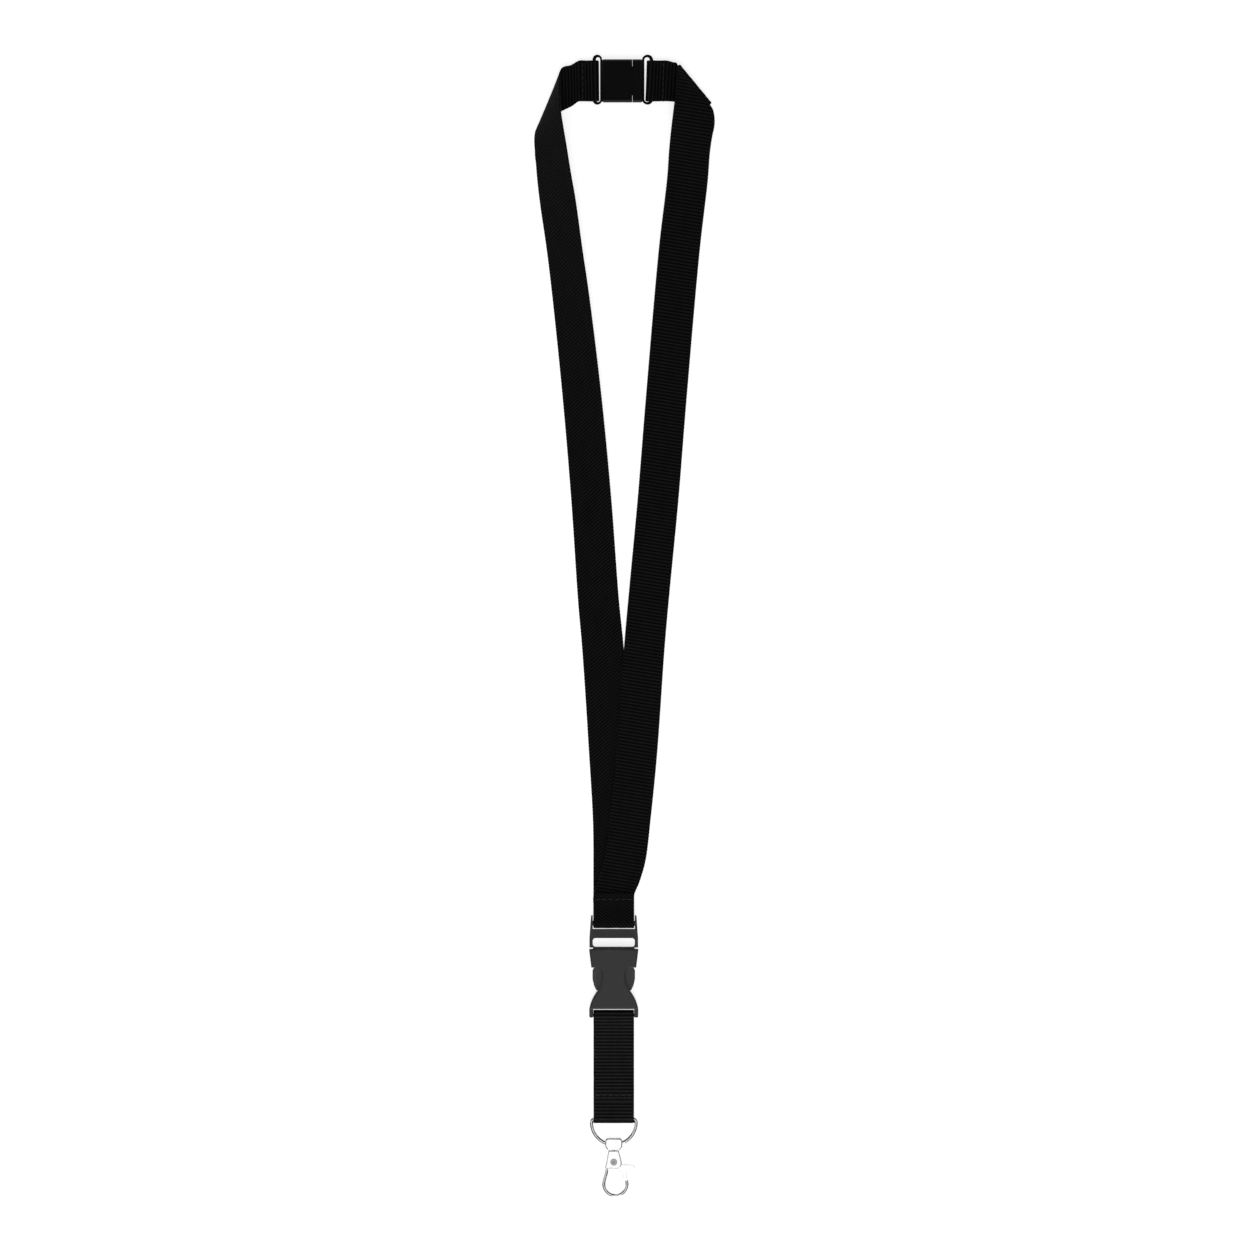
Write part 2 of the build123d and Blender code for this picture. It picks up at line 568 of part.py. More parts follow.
def female_edge(side):
    """One side of the female half's face: mouth, side cut-out, waist and shoulder."""
    mouth, ledge, notch, throat_top, neck, throat, waist, hip, shoulder = [
        (BUCKLE_X + side * out, y) for out, y in FEMALE_PROFILE
    ]
    Line(mouth, ledge)
    Line(ledge, notch)
    ThreePointArc(notch, throat_top, neck)
    ThreePointArc(neck, throat, waist)
    ThreePointArc(waist, hip, shoulder)


with BuildPart() as buckle_female:
    with BuildSketch():
        with BuildLine():
            ThreePointArc(
                (BUCKLE_X - MOUTH_CORNER[0], MOUTH_CORNER[1]),
                (BUCKLE_X, MOUTH_TOP_Y),
                (BUCKLE_X + MOUTH_CORNER[0], MOUTH_CORNER[1]),
            )
            female_edge(1)
            Line((BUCKLE_X + SHOULDER[0], SHOULDER[1]), (BUCKLE_X - SHOULDER[0], SHOULDER[1]))
            female_edge(-1)
        make_face()
    extrude(amount=FEMALE_THICK)
    fillet(buckle_female.faces().sort_by(Axis.Z)[-1].edges(), radius=FACE_ROUND)
    fillet(buckle_female.faces().sort_by(Axis.Z)[0].edges(), radius=BACK_ROUND)
    with BuildSketch(Plane.XY.offset(PLATE_THICK)):
        with Locations((BUCKLE_X, (MOUTH_TOP_Y + CUTOUT_TOP_Y) / 2 + 1)):
            Rectangle(2 * CAVITY_HALF, MOUTH_TOP_Y - CUTOUT_TOP_Y + 2)
        with Locations((BUCKLE_X, (CUTOUT_TOP_Y + CAVITY_END_Y) / 2)):
            Rectangle(4 * CAVITY_HALF, CUTOUT_TOP_Y - CAVITY_END_Y)
        for side in (-1, 1):
            with Locations((BUCKLE_X + side * guide_rib_x, (GUIDE_RIB_TOP_Y + CAVITY_END_Y) / 2)):
                Rectangle(GUIDE_RIB, GUIDE_RIB_TOP_Y - CAVITY_END_Y, mode=Mode.SUBTRACT)
    extrude(amount=FEMALE_THICK - 2 * PLATE_THICK, mode=Mode.SUBTRACT)
    with BuildSketch(Plane.XY.offset(BUCKLE_Z - HANGER_RAIL_THICK / 2)):
        for side in (-1, 1):
            with Locations((BUCKLE_X + side * hanger_rail_x, (HANGER_RAIL_TOP_Y + FEMALE_BOTTOM_Y) / 2)):
                RectangleRounded(hanger_rail_width, HANGER_RAIL_TOP_Y - FEMALE_BOTTOM_Y, HANGER_RAIL_CORNER)
    extrude(amount=HANGER_RAIL_THICK)
    with BuildSketch(Plane.YZ.offset(BUCKLE_X - HANGER_RAIL_IN - BAR_BITE)):
        with Locations((HANGER_BAR_Y, BUCKLE_Z)):
            Circle(HANGER_BAR_RADIUS)
    extrude(amount=2 * (HANGER_RAIL_IN + BAR_BITE))

buckle_female.part.label = "buckle_female"
export_step(buckle_female.part, "parts/buckle_female.step")

# ---- D-ring: round wire, straight bar inside the hanger's lower turn ----
RING_CORNER = RING_BAR_Y - RING_CENTRE_Y
RING_LOW_Y = RING_CENTRE_Y - RING_RADIUS
bar_end = RING_RADIUS - RING_CORNER
corner_mid = RING_CORNER * math.sqrt(0.5)
with BuildPart() as d_ring:
    with BuildLine(Plane.XY.offset(METAL_Z)) as ring_path:
        Line((BUCKLE_X, RING_BAR_Y), (BUCKLE_X + bar_end, RING_BAR_Y))
        ThreePointArc(
            (BUCKLE_X + bar_end, RING_BAR_Y),
            (BUCKLE_X + bar_end + corner_mid, RING_CENTRE_Y + corner_mid),
            (BUCKLE_X + RING_RADIUS, RING_CENTRE_Y),
        )
        ThreePointArc(
            (BUCKLE_X + RING_RADIUS, RING_CENTRE_Y),
            (BUCKLE_X + RING_RADIUS * math.sqrt(0.5), RING_CENTRE_Y - RING_RADIUS * math.sqrt(0.5)),
            (BUCKLE_X, RING_LOW_Y),
        )
    with BuildSketch(Plane(origin=(BUCKLE_X, RING_BAR_Y, METAL_Z), x_dir=(0, 1, 0), z_dir=(1, 0, 0))):
        Circle(RING_WIRE)
    sweep(path=ring_path.wire())
    mirror(about=Plane.YZ.offset(BUCKLE_X))

d_ring.part.label = "d_ring"
export_step(d_ring.part, "parts/d_ring.step")

# ---- swivel saddle: a domed block over the ring's lowest wire, bell-mouthed so that it can swing ----
SADDLE_HOLE_MIDDLE = RING_WIRE + 0.3
SADDLE_HOLE_END = 2.1
SADDLE_ROUND = 0.7
PIN_HEAD_RADIUS = 1.5
PIN_HEAD_TOP_Y = -255.1
PIN_HEAD_BOTTOM_Y = -255.5
PIN_END_Y = -258.6
PIN_HEAD_GAP = 0.2
PIN_HEAD_ROOM = 1.4
PIN_BORE_DEPTH = 1.5
SADDLE_CROWN = 2.6
SADDLE_FOOT = 3.0
SADDLE_SHOULDER_Y = SADDLE_TOP_Y - (SADDLE_WIDTH / 2 - SADDLE_CROWN)
SADDLE_SIDE_Y = -254.8
half_saddle = SADDLE_WIDTH / 2
half_hole = half_saddle + OVERCUT
with BuildPart() as swivel_saddle:
    with BuildSketch(Plane.XY.offset(METAL_Z - SADDLE_THICK / 2)):
        with BuildLine():
            Line((BUCKLE_X - SADDLE_CROWN, SADDLE_TOP_Y), (BUCKLE_X + SADDLE_CROWN, SADDLE_TOP_Y))
            for side in (-1, 1):
                crown = (BUCKLE_X + side * SADDLE_CROWN, SADDLE_TOP_Y)
                shoulder = (BUCKLE_X + side * half_saddle, SADDLE_SHOULDER_Y)
                flank = (BUCKLE_X + side * half_saddle, SADDLE_SIDE_Y)
                foot = (BUCKLE_X + side * SADDLE_FOOT, SADDLE_BOTTOM_Y)
                TangentArc(crown, shoulder, tangent=(side, 0))
                Line(shoulder, flank)
                Line(flank, foot)
            Line((BUCKLE_X - SADDLE_FOOT, SADDLE_BOTTOM_Y), (BUCKLE_X + SADDLE_FOOT, SADDLE_BOTTOM_Y))
        make_face()
    extrude(amount=SADDLE_THICK)
    fillet(swivel_saddle.faces().filter_by(Axis.Z).edges(), radius=SADDLE_ROUND)
    with BuildSketch(Plane.XY.offset(METAL_Z)):
        with BuildLine():
            Line((BUCKLE_X - half_hole, RING_LOW_Y), (BUCKLE_X - half_hole, RING_LOW_Y + SADDLE_HOLE_END))
            ThreePointArc(
                (BUCKLE_X - half_hole, RING_LOW_Y + SADDLE_HOLE_END),
                (BUCKLE_X, RING_LOW_Y + SADDLE_HOLE_MIDDLE),
                (BUCKLE_X + half_hole, RING_LOW_Y + SADDLE_HOLE_END),
            )
            Line((BUCKLE_X + half_hole, RING_LOW_Y + SADDLE_HOLE_END), (BUCKLE_X + half_hole, RING_LOW_Y))
            Line((BUCKLE_X + half_hole, RING_LOW_Y), (BUCKLE_X - half_hole, RING_LOW_Y))
        make_face()
    revolve(axis=Axis((BUCKLE_X, RING_LOW_Y, METAL_Z), (1, 0, 0)), mode=Mode.SUBTRACT)
    with BuildSketch(Plane.XZ.offset(-PIN_HEAD_BOTTOM_Y + PIN_GAP)):
        with Locations((BUCKLE_X, METAL_Z)):
            Circle(PIN_HEAD_RADIUS + PIN_HEAD_GAP)
    extrude(amount=-PIN_HEAD_ROOM, mode=Mode.SUBTRACT)
    with BuildSketch(Plane.XZ.offset(-SADDLE_BOTTOM_Y)):
        with Locations((BUCKLE_X, METAL_Z)):
            Circle(PIN_RADIUS + PIN_GAP)
    extrude(amount=-PIN_BORE_DEPTH, mode=Mode.SUBTRACT)

swivel_saddle.part.label = "swivel_saddle"
export_step(swivel_saddle.part, "parts/swivel_saddle.step")

with BuildPart() as swivel_pin:
    with BuildSketch(Plane.XZ.offset(-PIN_END_Y)):
        with Locations((BUCKLE_X, METAL_Z)):
            Circle(PIN_RADIUS)
    extrude(amount=-(PIN_HEAD_TOP_Y - PIN_END_Y))
    with BuildSketch(Plane.XZ.offset(-PIN_HEAD_BOTTOM_Y)):
        with Locations((BUCKLE_X, METAL_Z)):
            Circle(PIN_HEAD_RADIUS)
    extrude(amount=-(PIN_HEAD_TOP_Y - PIN_HEAD_BOTTOM_Y))

swivel_pin.part.label = "swivel_pin"
export_step(swivel_pin.part, "parts/swivel_pin.step")

# ---- trigger hook: a slotted plate on the swivel pin with a round-wire eye open at its right shoulder ----
EYE_X = -4.7
EYE_Y = -273.2
EYE_RADIUS = 5.7
EYE_JOIN_ANGLE = 165
EYE_NOSE_ANGLE = 378
EYE_SHANK = 8.2
RIVET_RADIUS = 0.8
RIVET_HEAD_RADIUS = 1.7
RIVET_HEAD = 0.4
RIVET_HOLLOW = 0.55
RIVET_HOLLOW_DEPTH = 0.8
GATE_SLOT = 1.8
GATE_SLOT_X = 2.2
GATE_SLOT_Y = -263.45
GATE_SLOT_WIDTH = 9.8
GATE_SLOT_LENGTH = 8.1
PLATE_CHAMFER = 0.45

# The hook's plate, as (right of the buckle's centreline, along Y), from its upper left corner.
HOOK_PLATE = [
    (-2.6, HOOK_TOP_Y),
    (-3.0, -258.4),
    (-3.7, -262.4),
    (-4.3, -265.0),
    (-3.8, -266.0),
    (-2.0, -265.6),
    (1.4, -265.7),
    (3.2, -264.9),
    (4.0, -263.4),
    (3.6, -260.8),
    (2.8, -258.2),
    (2.6, HOOK_TOP_Y),
]


def on_eye(angle):
    turn = math.radians(angle)
    return (EYE_X + EYE_RADIUS * math.cos(turn), EYE_Y + EYE_RADIUS * math.sin(turn))


join = on_eye(EYE_JOIN_ANGLE)
shank_way = (math.sin(math.radians(EYE_JOIN_ANGLE)), -math.cos(math.radians(EYE_JOIN_ANGLE)))
shank_top = (join[0] + EYE_SHANK * shank_way[0], join[1] + EYE_SHANK * shank_way[1])
with BuildPart() as hook_body:
    with BuildLine(Plane.XY.offset(METAL_Z)) as eye_path:
        Line(shank_top, join)
        ThreePointArc(join, on_eye((EYE_JOIN_ANGLE + EYE_NOSE_ANGLE) / 2), on_eye(EYE_NOSE_ANGLE))
    with BuildSketch(Plane(origin=(*shank_top, METAL_Z), z_dir=(-shank_way[0], -shank_way[1], 0))):
        Circle(HOOK_WIRE)
    sweep(path=eye_path.wire())
    with BuildSketch(Plane.XY.offset(METAL_Z - HOOK_THICK / 2)):
        with BuildLine():
            for first, second in zip(HOOK_PLATE, HOOK_PLATE[1:] + HOOK_PLATE[:1]):
                Line((BUCKLE_X + first[0], first[1]), (BUCKLE_X + second[0], second[1]))
        make_face()
    extrude(amount=HOOK_THICK)
    chamfer(hook_body.faces().filter_by(Axis.Z).sort_by(Axis.Z)[-1].edges(), length=PLATE_CHAMFER)
    with BuildSketch(Plane.XY.offset(METAL_Z - GATE_SLOT / 2)):
        with Locations((BUCKLE_X + GATE_SLOT_X, GATE_SLOT_Y)):
            Rectangle(GATE_SLOT_WIDTH, GATE_SLOT_LENGTH)
    extrude(amount=GATE_SLOT, mode=Mode.SUBTRACT)
    with BuildSketch(Plane.XY.offset(METAL_Z - HOOK_THICK)):
        with Locations((BUCKLE_X, RIVET_Y)):
            Circle(RIVET_RADIUS)
    extrude(amount=2 * HOOK_THICK, mode=Mode.SUBTRACT)
    with BuildSketch(Plane.XZ.offset(-PIN_END_Y)):
        with Locations((BUCKLE_X, METAL_Z)):
            Circle(PIN_RADIUS)
    extrude(amount=-(HOOK_TOP_Y - PIN_END_Y + OVERCUT), mode=Mode.SUBTRACT)

hook_body.part.label = "hook_body"
export_step(hook_body.part, "parts/hook_body.step")

GATE_OUTLINE = [
    (-5.2, -260.6),
    (-2.2, -263.6),
    (4.4, -263.8),
    (4.9, -264.6),
    (4.7, -266.0),
    (0.6, -266.4),
    (0.9, -270.4),
    (-0.5, -270.7),
    (-1.4, -268.6),
    (-3.6, -265.4),
    (-6.4, -264.2),
]
SPRING_RADIUS = 1.32
SPRING_WIRE = 0.16
SPRING_ROOM = 0.4
SPRING_SEAT = 0.55
SPRING_SINK = 0.3
GATE_EYE_RADIUS = 2.1
with BuildPart() as hook_gate:
    with BuildSketch(Plane.XY.offset(METAL_Z - GATE_THICK / 2)):
        with BuildLine():
            Polyline(*GATE_OUTLINE, close=True)
        make_face()
        with Locations((BUCKLE_X, RIVET_Y)):
            Circle(GATE_EYE_RADIUS)
            Circle(RIVET_RADIUS + PIN_GAP, mode=Mode.SUBTRACT)
    extrude(amount=GATE_THICK)
    with BuildSketch(Plane.XY.offset(METAL_Z + GATE_THICK / 2)):
        with Locations((BUCKLE_X, RIVET_Y)):
            Circle(SPRING_RADIUS + SPRING_ROOM)
            Circle(RIVET_RADIUS + PIN_GAP, mode=Mode.SUBTRACT)
    extrude(amount=-SPRING_SEAT, mode=Mode.SUBTRACT)

hook_gate.part.label = "hook_gate"
export_step(hook_gate.part, "parts/hook_gate.step")

with BuildPart() as gate_rivet:
    with BuildSketch(Plane.XY.offset(METAL_Z - HOOK_THICK / 2 - RIVET_HEAD)):
        with Locations((BUCKLE_X, RIVET_Y)):
            Circle(RIVET_RADIUS)
    extrude(amount=HOOK_THICK + 2 * RIVET_HEAD)
    with BuildSketch(Plane.XY.offset(METAL_Z + HOOK_THICK / 2)):
        with Locations((BUCKLE_X, RIVET_Y)):
            Circle(RIVET_HEAD_RADIUS)
    extrude(amount=RIVET_HEAD)
    with BuildSketch(Plane.XY.offset(METAL_Z - HOOK_THICK / 2)):
        with Locations((BUCKLE_X, RIVET_Y)):
            Circle(RIVET_HEAD_RADIUS)
    extrude(amount=-RIVET_HEAD)
    for way in (-1, 1):
        with BuildSketch(Plane.XY.offset(METAL_Z - way * (HOOK_THICK / 2 + RIVET_HEAD))):
            with Locations((BUCKLE_X, RIVET_Y)):
                Circle(RIVET_HOLLOW)
        extrude(amount=way * RIVET_HOLLOW_DEPTH, mode=Mode.SUBTRACT)

gate_rivet.part.label = "gate_rivet"
export_step(gate_rivet.part, "parts/gate_rivet.step")

with BuildPart() as gate_spring:
    spring_centre = (BUCKLE_X, RIVET_Y, METAL_Z + GATE_THICK / 2 - SPRING_SINK)
    with BuildSketch(Plane(origin=spring_centre, x_dir=(1, 0, 0), z_dir=(0, -1, 0))):
        with Locations((SPRING_RADIUS, 0)):
            Circle(SPRING_WIRE)
    revolve(axis=Axis((BUCKLE_X, RIVET_Y, METAL_Z), (0, 0, 1)))

gate_spring.part.label = "gate_spring"
export_step(gate_spring.part, "parts/gate_spring.step")
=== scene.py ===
# %% [markdown]
# # A neck lanyard, laid out flat
#
# The frame comes first. It holds the lanyard's hard parts at their real size, and every length in this
# file is in metres in that same frame: +Y runs from the hook up to the nape, +Z points up from the table.

# %% Load the frame
import math

import bmesh
import bpy
import numpy as np
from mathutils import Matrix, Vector


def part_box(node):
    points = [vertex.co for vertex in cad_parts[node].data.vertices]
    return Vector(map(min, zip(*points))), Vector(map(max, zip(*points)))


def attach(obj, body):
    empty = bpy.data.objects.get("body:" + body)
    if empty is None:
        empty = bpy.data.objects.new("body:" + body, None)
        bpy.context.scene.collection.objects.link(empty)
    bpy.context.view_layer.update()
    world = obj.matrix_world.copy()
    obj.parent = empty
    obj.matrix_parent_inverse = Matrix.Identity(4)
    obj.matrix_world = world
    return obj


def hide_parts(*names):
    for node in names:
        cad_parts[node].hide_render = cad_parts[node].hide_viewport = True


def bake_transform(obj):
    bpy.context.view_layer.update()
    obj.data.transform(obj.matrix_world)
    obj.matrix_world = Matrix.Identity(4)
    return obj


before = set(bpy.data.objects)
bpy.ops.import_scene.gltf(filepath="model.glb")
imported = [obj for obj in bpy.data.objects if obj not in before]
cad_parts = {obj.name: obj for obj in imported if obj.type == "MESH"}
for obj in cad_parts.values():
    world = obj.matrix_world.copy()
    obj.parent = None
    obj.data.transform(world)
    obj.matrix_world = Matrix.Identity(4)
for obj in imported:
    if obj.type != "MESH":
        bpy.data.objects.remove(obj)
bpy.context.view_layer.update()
MM = 0.001

# %% [markdown]
# ## Camera and light
#
# The lanyard lies on a table and is seen from straight above through a long lens, so that nothing
# converges. A pale floor and one big soft box give even light. The box stands over the hook, because bright
# metal is only as bright as what it mirrors, while black plastic is best kept from mirroring anything. Low
# boxes at the foot, the nape and both sides rake across the webbing: its ribs only show in such low light.

# %% Camera
FRAME_WIDTH = 612.5 * MM
CAMERA_HEIGHT = 4.0
SENSOR = 36.0
camera_data = bpy.data.cameras.new("long_lens")
camera_data.sensor_width = SENSOR
camera_data.lens = SENSOR * CAMERA_HEIGHT / FRAME_WIDTH
camera_data.clip_end = 20.0
camera = bpy.data.objects.new("long_lens", camera_data)
camera.location = (0.0, 0.5 * MM, CAMERA_HEIGHT)
bpy.context.collection.objects.link(camera)
bpy.context.scene.camera = camera
bpy.context.scene.view_settings.view_transform = "Standard"
print("lens:", round(camera_data.lens, 1), "mm at", CAMERA_HEIGHT, "m")


# %% Soft boxes
def soft_box(name, place, aim, size, watts):
    """One rectangular lamp that faces a point."""
    data = bpy.data.lights.new(name, "AREA")
    data.shape = "SQUARE"
    data.size = size
    data.energy = watts
    lamp = bpy.data.objects.new(name, data)
    lamp.location = place
    lamp.rotation_euler = (Vector(aim) - Vector(place)).to_track_quat("-Z", "Y").to_euler()
    bpy.context.collection.objects.link(lamp)
    return lamp


soft_box("overhead_box", (0.0, -0.62, 1.5), (0, -0.3, 0), 1.0, 6.0)
soft_box("left_box", (-1.4, 0.1, 0.45), (0, 0.05, 0), 0.8, 3.0)
soft_box("right_box", (1.4, 0.4, 0.5), (0, 0.1, 0), 0.8, 2.0)
soft_box("foot_box", (0.15, -1.5, 0.4), (0, 0.0, 0), 0.9, 9.0)
soft_box("nape_box", (-0.3, 1.5, 0.5), (0, 0.1, 0), 0.7, 4.0)

world = bpy.data.worlds.new("studio")
world.use_nodes = True
world.node_tree.nodes["Background"].inputs["Color"].default_value = (1.0, 1.0, 1.0, 1.0)
world.node_tree.nodes["Background"].inputs["Strength"].default_value = 0.06
bpy.context.scene.world = world


# %% [markdown]
# ## Finishes
#
# Each finish starts from one helper that makes a material and hands back its Principled shader. The
# relief that several finishes share lives in node groups: the webbing's weave, and a fine grain for
# moulded and plated parts. A group gives out only heights and masks, and the shader stays outside it.

# %% A material and its shader
def new_material(name, colour, roughness, metallic=0.0):
    """A material with its Principled shader's own values set, and the shader itself."""
    material = bpy.data.materials.new(name)
    material.use_nodes = True
    shader = material.node_tree.nodes["Principled BSDF"]
    shader.inputs["Base Color"].default_value = (*colour, 1.0)
    shader.inputs["Roughness"].default_value = roughness
    shader.inputs["Metallic"].default_value = metallic
    return material, shader


def add_node(tree, kind, **values):
    """A node with its properties set by name."""
    node = tree.nodes.new(kind)
    for key, value in values.items():
        setattr(node, key, value)
    return node


def math_node(tree, operation, first, second=None, third=None):
    """A math node whose inputs are sockets or numbers, and its output."""
    node = add_node(tree, "ShaderNodeMath", operation=operation)
    for index, value in enumerate((first, second, third)):
        if value is None:
            continue
        if isinstance(value, (int, float)):
            node.inputs[index].default_value = value
        else:
            tree.links.new(value, node.inputs[index])
    return node.outputs[0]


# %% [markdown]
# ### The weave
#
# Lanyard webbing is a plain weave with thick weft picks: from a little way off it shows as fine ribs
# straight across the strap, and close up each rib breaks into warp yarns that go over and under. The
# strap's UV map holds real millimetres, across in x and along in y, so the pitches below are real ones.

# %% Weave group
RIB_PITCH_MM = 1.66
YARN_PITCH_MM = 0.62


def build_weave():
    group = bpy.data.node_groups.new("webbing_weave", "ShaderNodeTree")
    group.interface.new_socket("Across", in_out="INPUT", socket_type="NodeSocketFloat")
    group.interface.new_socket("Along", in_out="INPUT", socket_type="NodeSocketFloat")
    group.interface.new_socket("Height", in_out="OUTPUT", socket_type="NodeSocketFloat")
    group.interface.new_socket("Painted Rib Light", in_out="OUTPUT", socket_type="NodeSocketFloat")
    source = group.nodes.new("NodeGroupInput")
    sink = group.nodes.new("NodeGroupOutput")
    across = source.outputs["Across"]
    along = source.outputs["Along"]
    yarn = math_node(group, "DIVIDE", across, YARN_PITCH_MM)
    odd = math_node(group, "PINGPONG", math_node(group, "FLOOR", yarn), 1.0)
    yarn_round = math_node(group, "ABSOLUTE", math_node(group, "SINE", math_node(group, "MULTIPLY", yarn, math.pi)))
    turns = math_node(group, "DIVIDE", along, RIB_PITCH_MM)
    rib_wave = math_node(group, "COSINE", math_node(group, "MULTIPLY", turns, 2 * math.pi))
    shifted = math_node(
        group, "ADD", math_node(group, "MULTIPLY", turns, 4 * math.pi),
        math_node(group, "MULTIPLY", odd, math.pi),
    )
    over = math_node(group, "SINE", shifted)
    yarn_part = math_node(group, "MULTIPLY", yarn_round, math_node(group, "MULTIPLY_ADD", over, 0.5, 0.5))
    place = add_node(group, "ShaderNodeCombineXYZ")
    group.links.new(math_node(group, "MULTIPLY", across, 5.0), place.inputs[0])
    group.links.new(math_node(group, "MULTIPLY", along, 1.6), place.inputs[1])
    fuzz = add_node(group, "ShaderNodeTexNoise")
    fuzz.inputs["Scale"].default_value = 1.0
    fuzz.inputs["Detail"].default_value = 3.0
    group.links.new(place.outputs[0], fuzz.inputs["Vector"])
    drift = add_node(group, "ShaderNodeTexNoise")
    drift.inputs["Scale"].default_value = 0.05
    drift.inputs["Detail"].default_value = 2.0
    group.links.new(place.outputs[0], drift.inputs["Vector"])
    height = math_node(
        group, "ADD", math_node(group, "MULTIPLY", rib_wave, 0.5),
        math_node(group, "MULTIPLY", yarn_part, 0.55),
    )
    height = math_node(group, "ADD", height, math_node(group, "MULTIPLY", fuzz.outputs["Fac"], 0.5))
    group.links.new(height, sink.inputs["Height"])
    # Painted light: the rib crests and the yarns on top are painted lighter, and the grooves stay dark as painted
    # shade; the patchy noise on top is random tone.
    crest = math_node(group, "POWER", math_node(group, "MULTIPLY_ADD", rib_wave, 0.5, 0.5), 2.0)
    painted_rib_light = math_node(group, "MULTIPLY", crest, math_node(group, "ADD", yarn_part, 0.35))
    patchy = math_node(group, "ADD", fuzz.outputs["Fac"], math_node(group, "MULTIPLY", drift.outputs["Fac"], 1.1))
    painted_rib_light = math_node(group, "MULTIPLY", painted_rib_light, patchy)
    group.links.new(painted_rib_light, sink.inputs["Painted Rib Light"])
    return group


weave = build_weave()
print("weave group nodes:", len(weave.nodes))


# %% Webbing finish
def webbing_material(name, dark, light):
    """Black polyester webbing: the weave sets relief, and a painted highlight on the rib crests and raised yarns.
    """
    material, shader = new_material(name, dark, 0.72)
    tree = material.node_tree
    uv = add_node(tree, "ShaderNodeUVMap", uv_map="webbing_mm")
    split = add_node(tree, "ShaderNodeSeparateXYZ")
    tree.links.new(uv.outputs[0], split.inputs[0])
    pattern = add_node(tree, "ShaderNodeGroup", node_tree=weave)
    tree.links.new(split.outputs[0], pattern.inputs["Across"])
    tree.links.new(split.outputs[1], pattern.inputs["Along"])
    # The ramp runs from the webbing's black to a painted highlight on the rib crests.
    ramp = add_node(tree, "ShaderNodeValToRGB")
    ramp.color_ramp.elements[0].position = 0.0
    ramp.color_ramp.elements[0].color = (*dark, 1.0)
    ramp.color_ramp.elements[1].position = 1.0
    ramp.color_ramp.elements[1].color = (*light, 1.0)
    tree.links.new(pattern.outputs["Painted Rib Light"], ramp.inputs[0])
    tree.links.new(ramp.outputs[0], shader.inputs["Base Color"])
    bump = add_node(tree, "ShaderNodeBump")
    bump.inputs["Strength"].default_value = 0.9
    bump.inputs["Distance"].default_value = 0.06 * MM
    tree.links.new(pattern.outputs["Height"], bump.inputs["Height"])
    tree.links.new(bump.outputs[0], shader.inputs["Normal"])
    shader.inputs["Sheen Weight"].default_value = 0.02
    shader.inputs["Sheen Roughness"].default_value = 0.4
    shader.inputs["Specular IOR Level"].default_value = 0.07
    return material


# The second colour of each webbing is its painted highlight on the rib crests.
strap_black = webbing_material("strap_webbing", (0.0010, 0.0010, 0.0011), (0.022, 0.022, 0.023))
hanger_black = webbing_material("hanger_webbing", (0.0032, 0.0032, 0.0033), (0.042, 0.042, 0.043))
print("webbing finishes:", strap_black.name, hanger_black.name)

# %% [markdown]
# ### Moulded plastic, thread and plated metal
#
# The buckle is charcoal acetal with a faint spark-eroded grain, the clasp is the same in black. Both
# need only a little noise in roughness and bump. The plated metal is nickel: a greyish mirror that is
# broken up by shallow polishing marks. The thread is twisted, so its relief runs round it at a slant.

# %% Grain group
def build_grain():
    group = bpy.data.node_groups.new("surface_grain", "ShaderNodeTree")
    group.interface.new_socket("Scale", in_out="INPUT", socket_type="NodeSocketFloat").default_value = 900.0
    group.interface.new_socket("Patch Scale", in_out="INPUT", socket_type="NodeSocketFloat").default_value = 90.0
    group.interface.new_socket("Height", in_out="OUTPUT", socket_type="NodeSocketFloat")
    group.interface.new_socket("Patch", in_out="OUTPUT", socket_type="NodeSocketFloat")
    source = group.nodes.new("NodeGroupInput")
    sink = group.nodes.new("NodeGroupOutput")
    spot = add_node(group, "ShaderNodeTexCoord")
    fine = add_node(group, "ShaderNodeTexNoise")
    fine.inputs["Detail"].default_value = 4.0
    broad = add_node(group, "ShaderNodeTexNoise")
    broad.inputs["Detail"].default_value = 2.0
    group.links.new(spot.outputs["Object"], fine.inputs["Vector"])
    group.links.new(spot.outputs["Object"], broad.inputs["Vector"])
    group.links.new(source.outputs["Scale"], fine.inputs["Scale"])
    group.links.new(source.outputs["Patch Scale"], broad.inputs["Scale"])
    group.links.new(fine.outputs["Fac"], sink.inputs["Height"])
    group.links.new(broad.outputs["Fac"], sink.inputs["Patch"])
    return group


grain = build_grain()


def grained_material(name, dark, light, rough_low, rough_high, metallic=0.0, scale=900.0, patch=90.0, depth=0.01):
    """A moulded or plated finish whose colour and gloss drift slightly over the surface."""
    material, shader = new_material(name, dark, rough_low, metallic)
    tree = material.node_tree
    pattern = add_node(tree, "ShaderNodeGroup", node_tree=grain)
    pattern.inputs["Scale"].default_value = scale
    pattern.inputs["Patch Scale"].default_value = patch
    ramp = add_node(tree, "ShaderNodeValToRGB")
    ramp.color_ramp.elements[0].position = 0.3
    ramp.color_ramp.elements[0].color = (*dark, 1.0)
    ramp.color_ramp.elements[1].position = 0.7
    ramp.color_ramp.elements[1].color = (*light, 1.0)
    tree.links.new(pattern.outputs["Patch"], ramp.inputs[0])
    tree.links.new(ramp.outputs[0], shader.inputs["Base Color"])
    gloss = add_node(tree, "ShaderNodeMapRange")
    gloss.inputs["To Min"].default_value = rough_low
    gloss.inputs["To Max"].default_value = rough_high
    tree.links.new(pattern.outputs["Patch"], gloss.inputs["Value"])
    tree.links.new(gloss.outputs[0], shader.inputs["Roughness"])
    bump = add_node(tree, "ShaderNodeBump")
    bump.inputs["Strength"].default_value = 0.5
    bump.inputs["Distance"].default_value = depth * MM
    tree.links.new(pattern.outputs["Height"], bump.inputs["Height"])
    tree.links.new(bump.outputs[0], shader.inputs["Normal"])
    return material


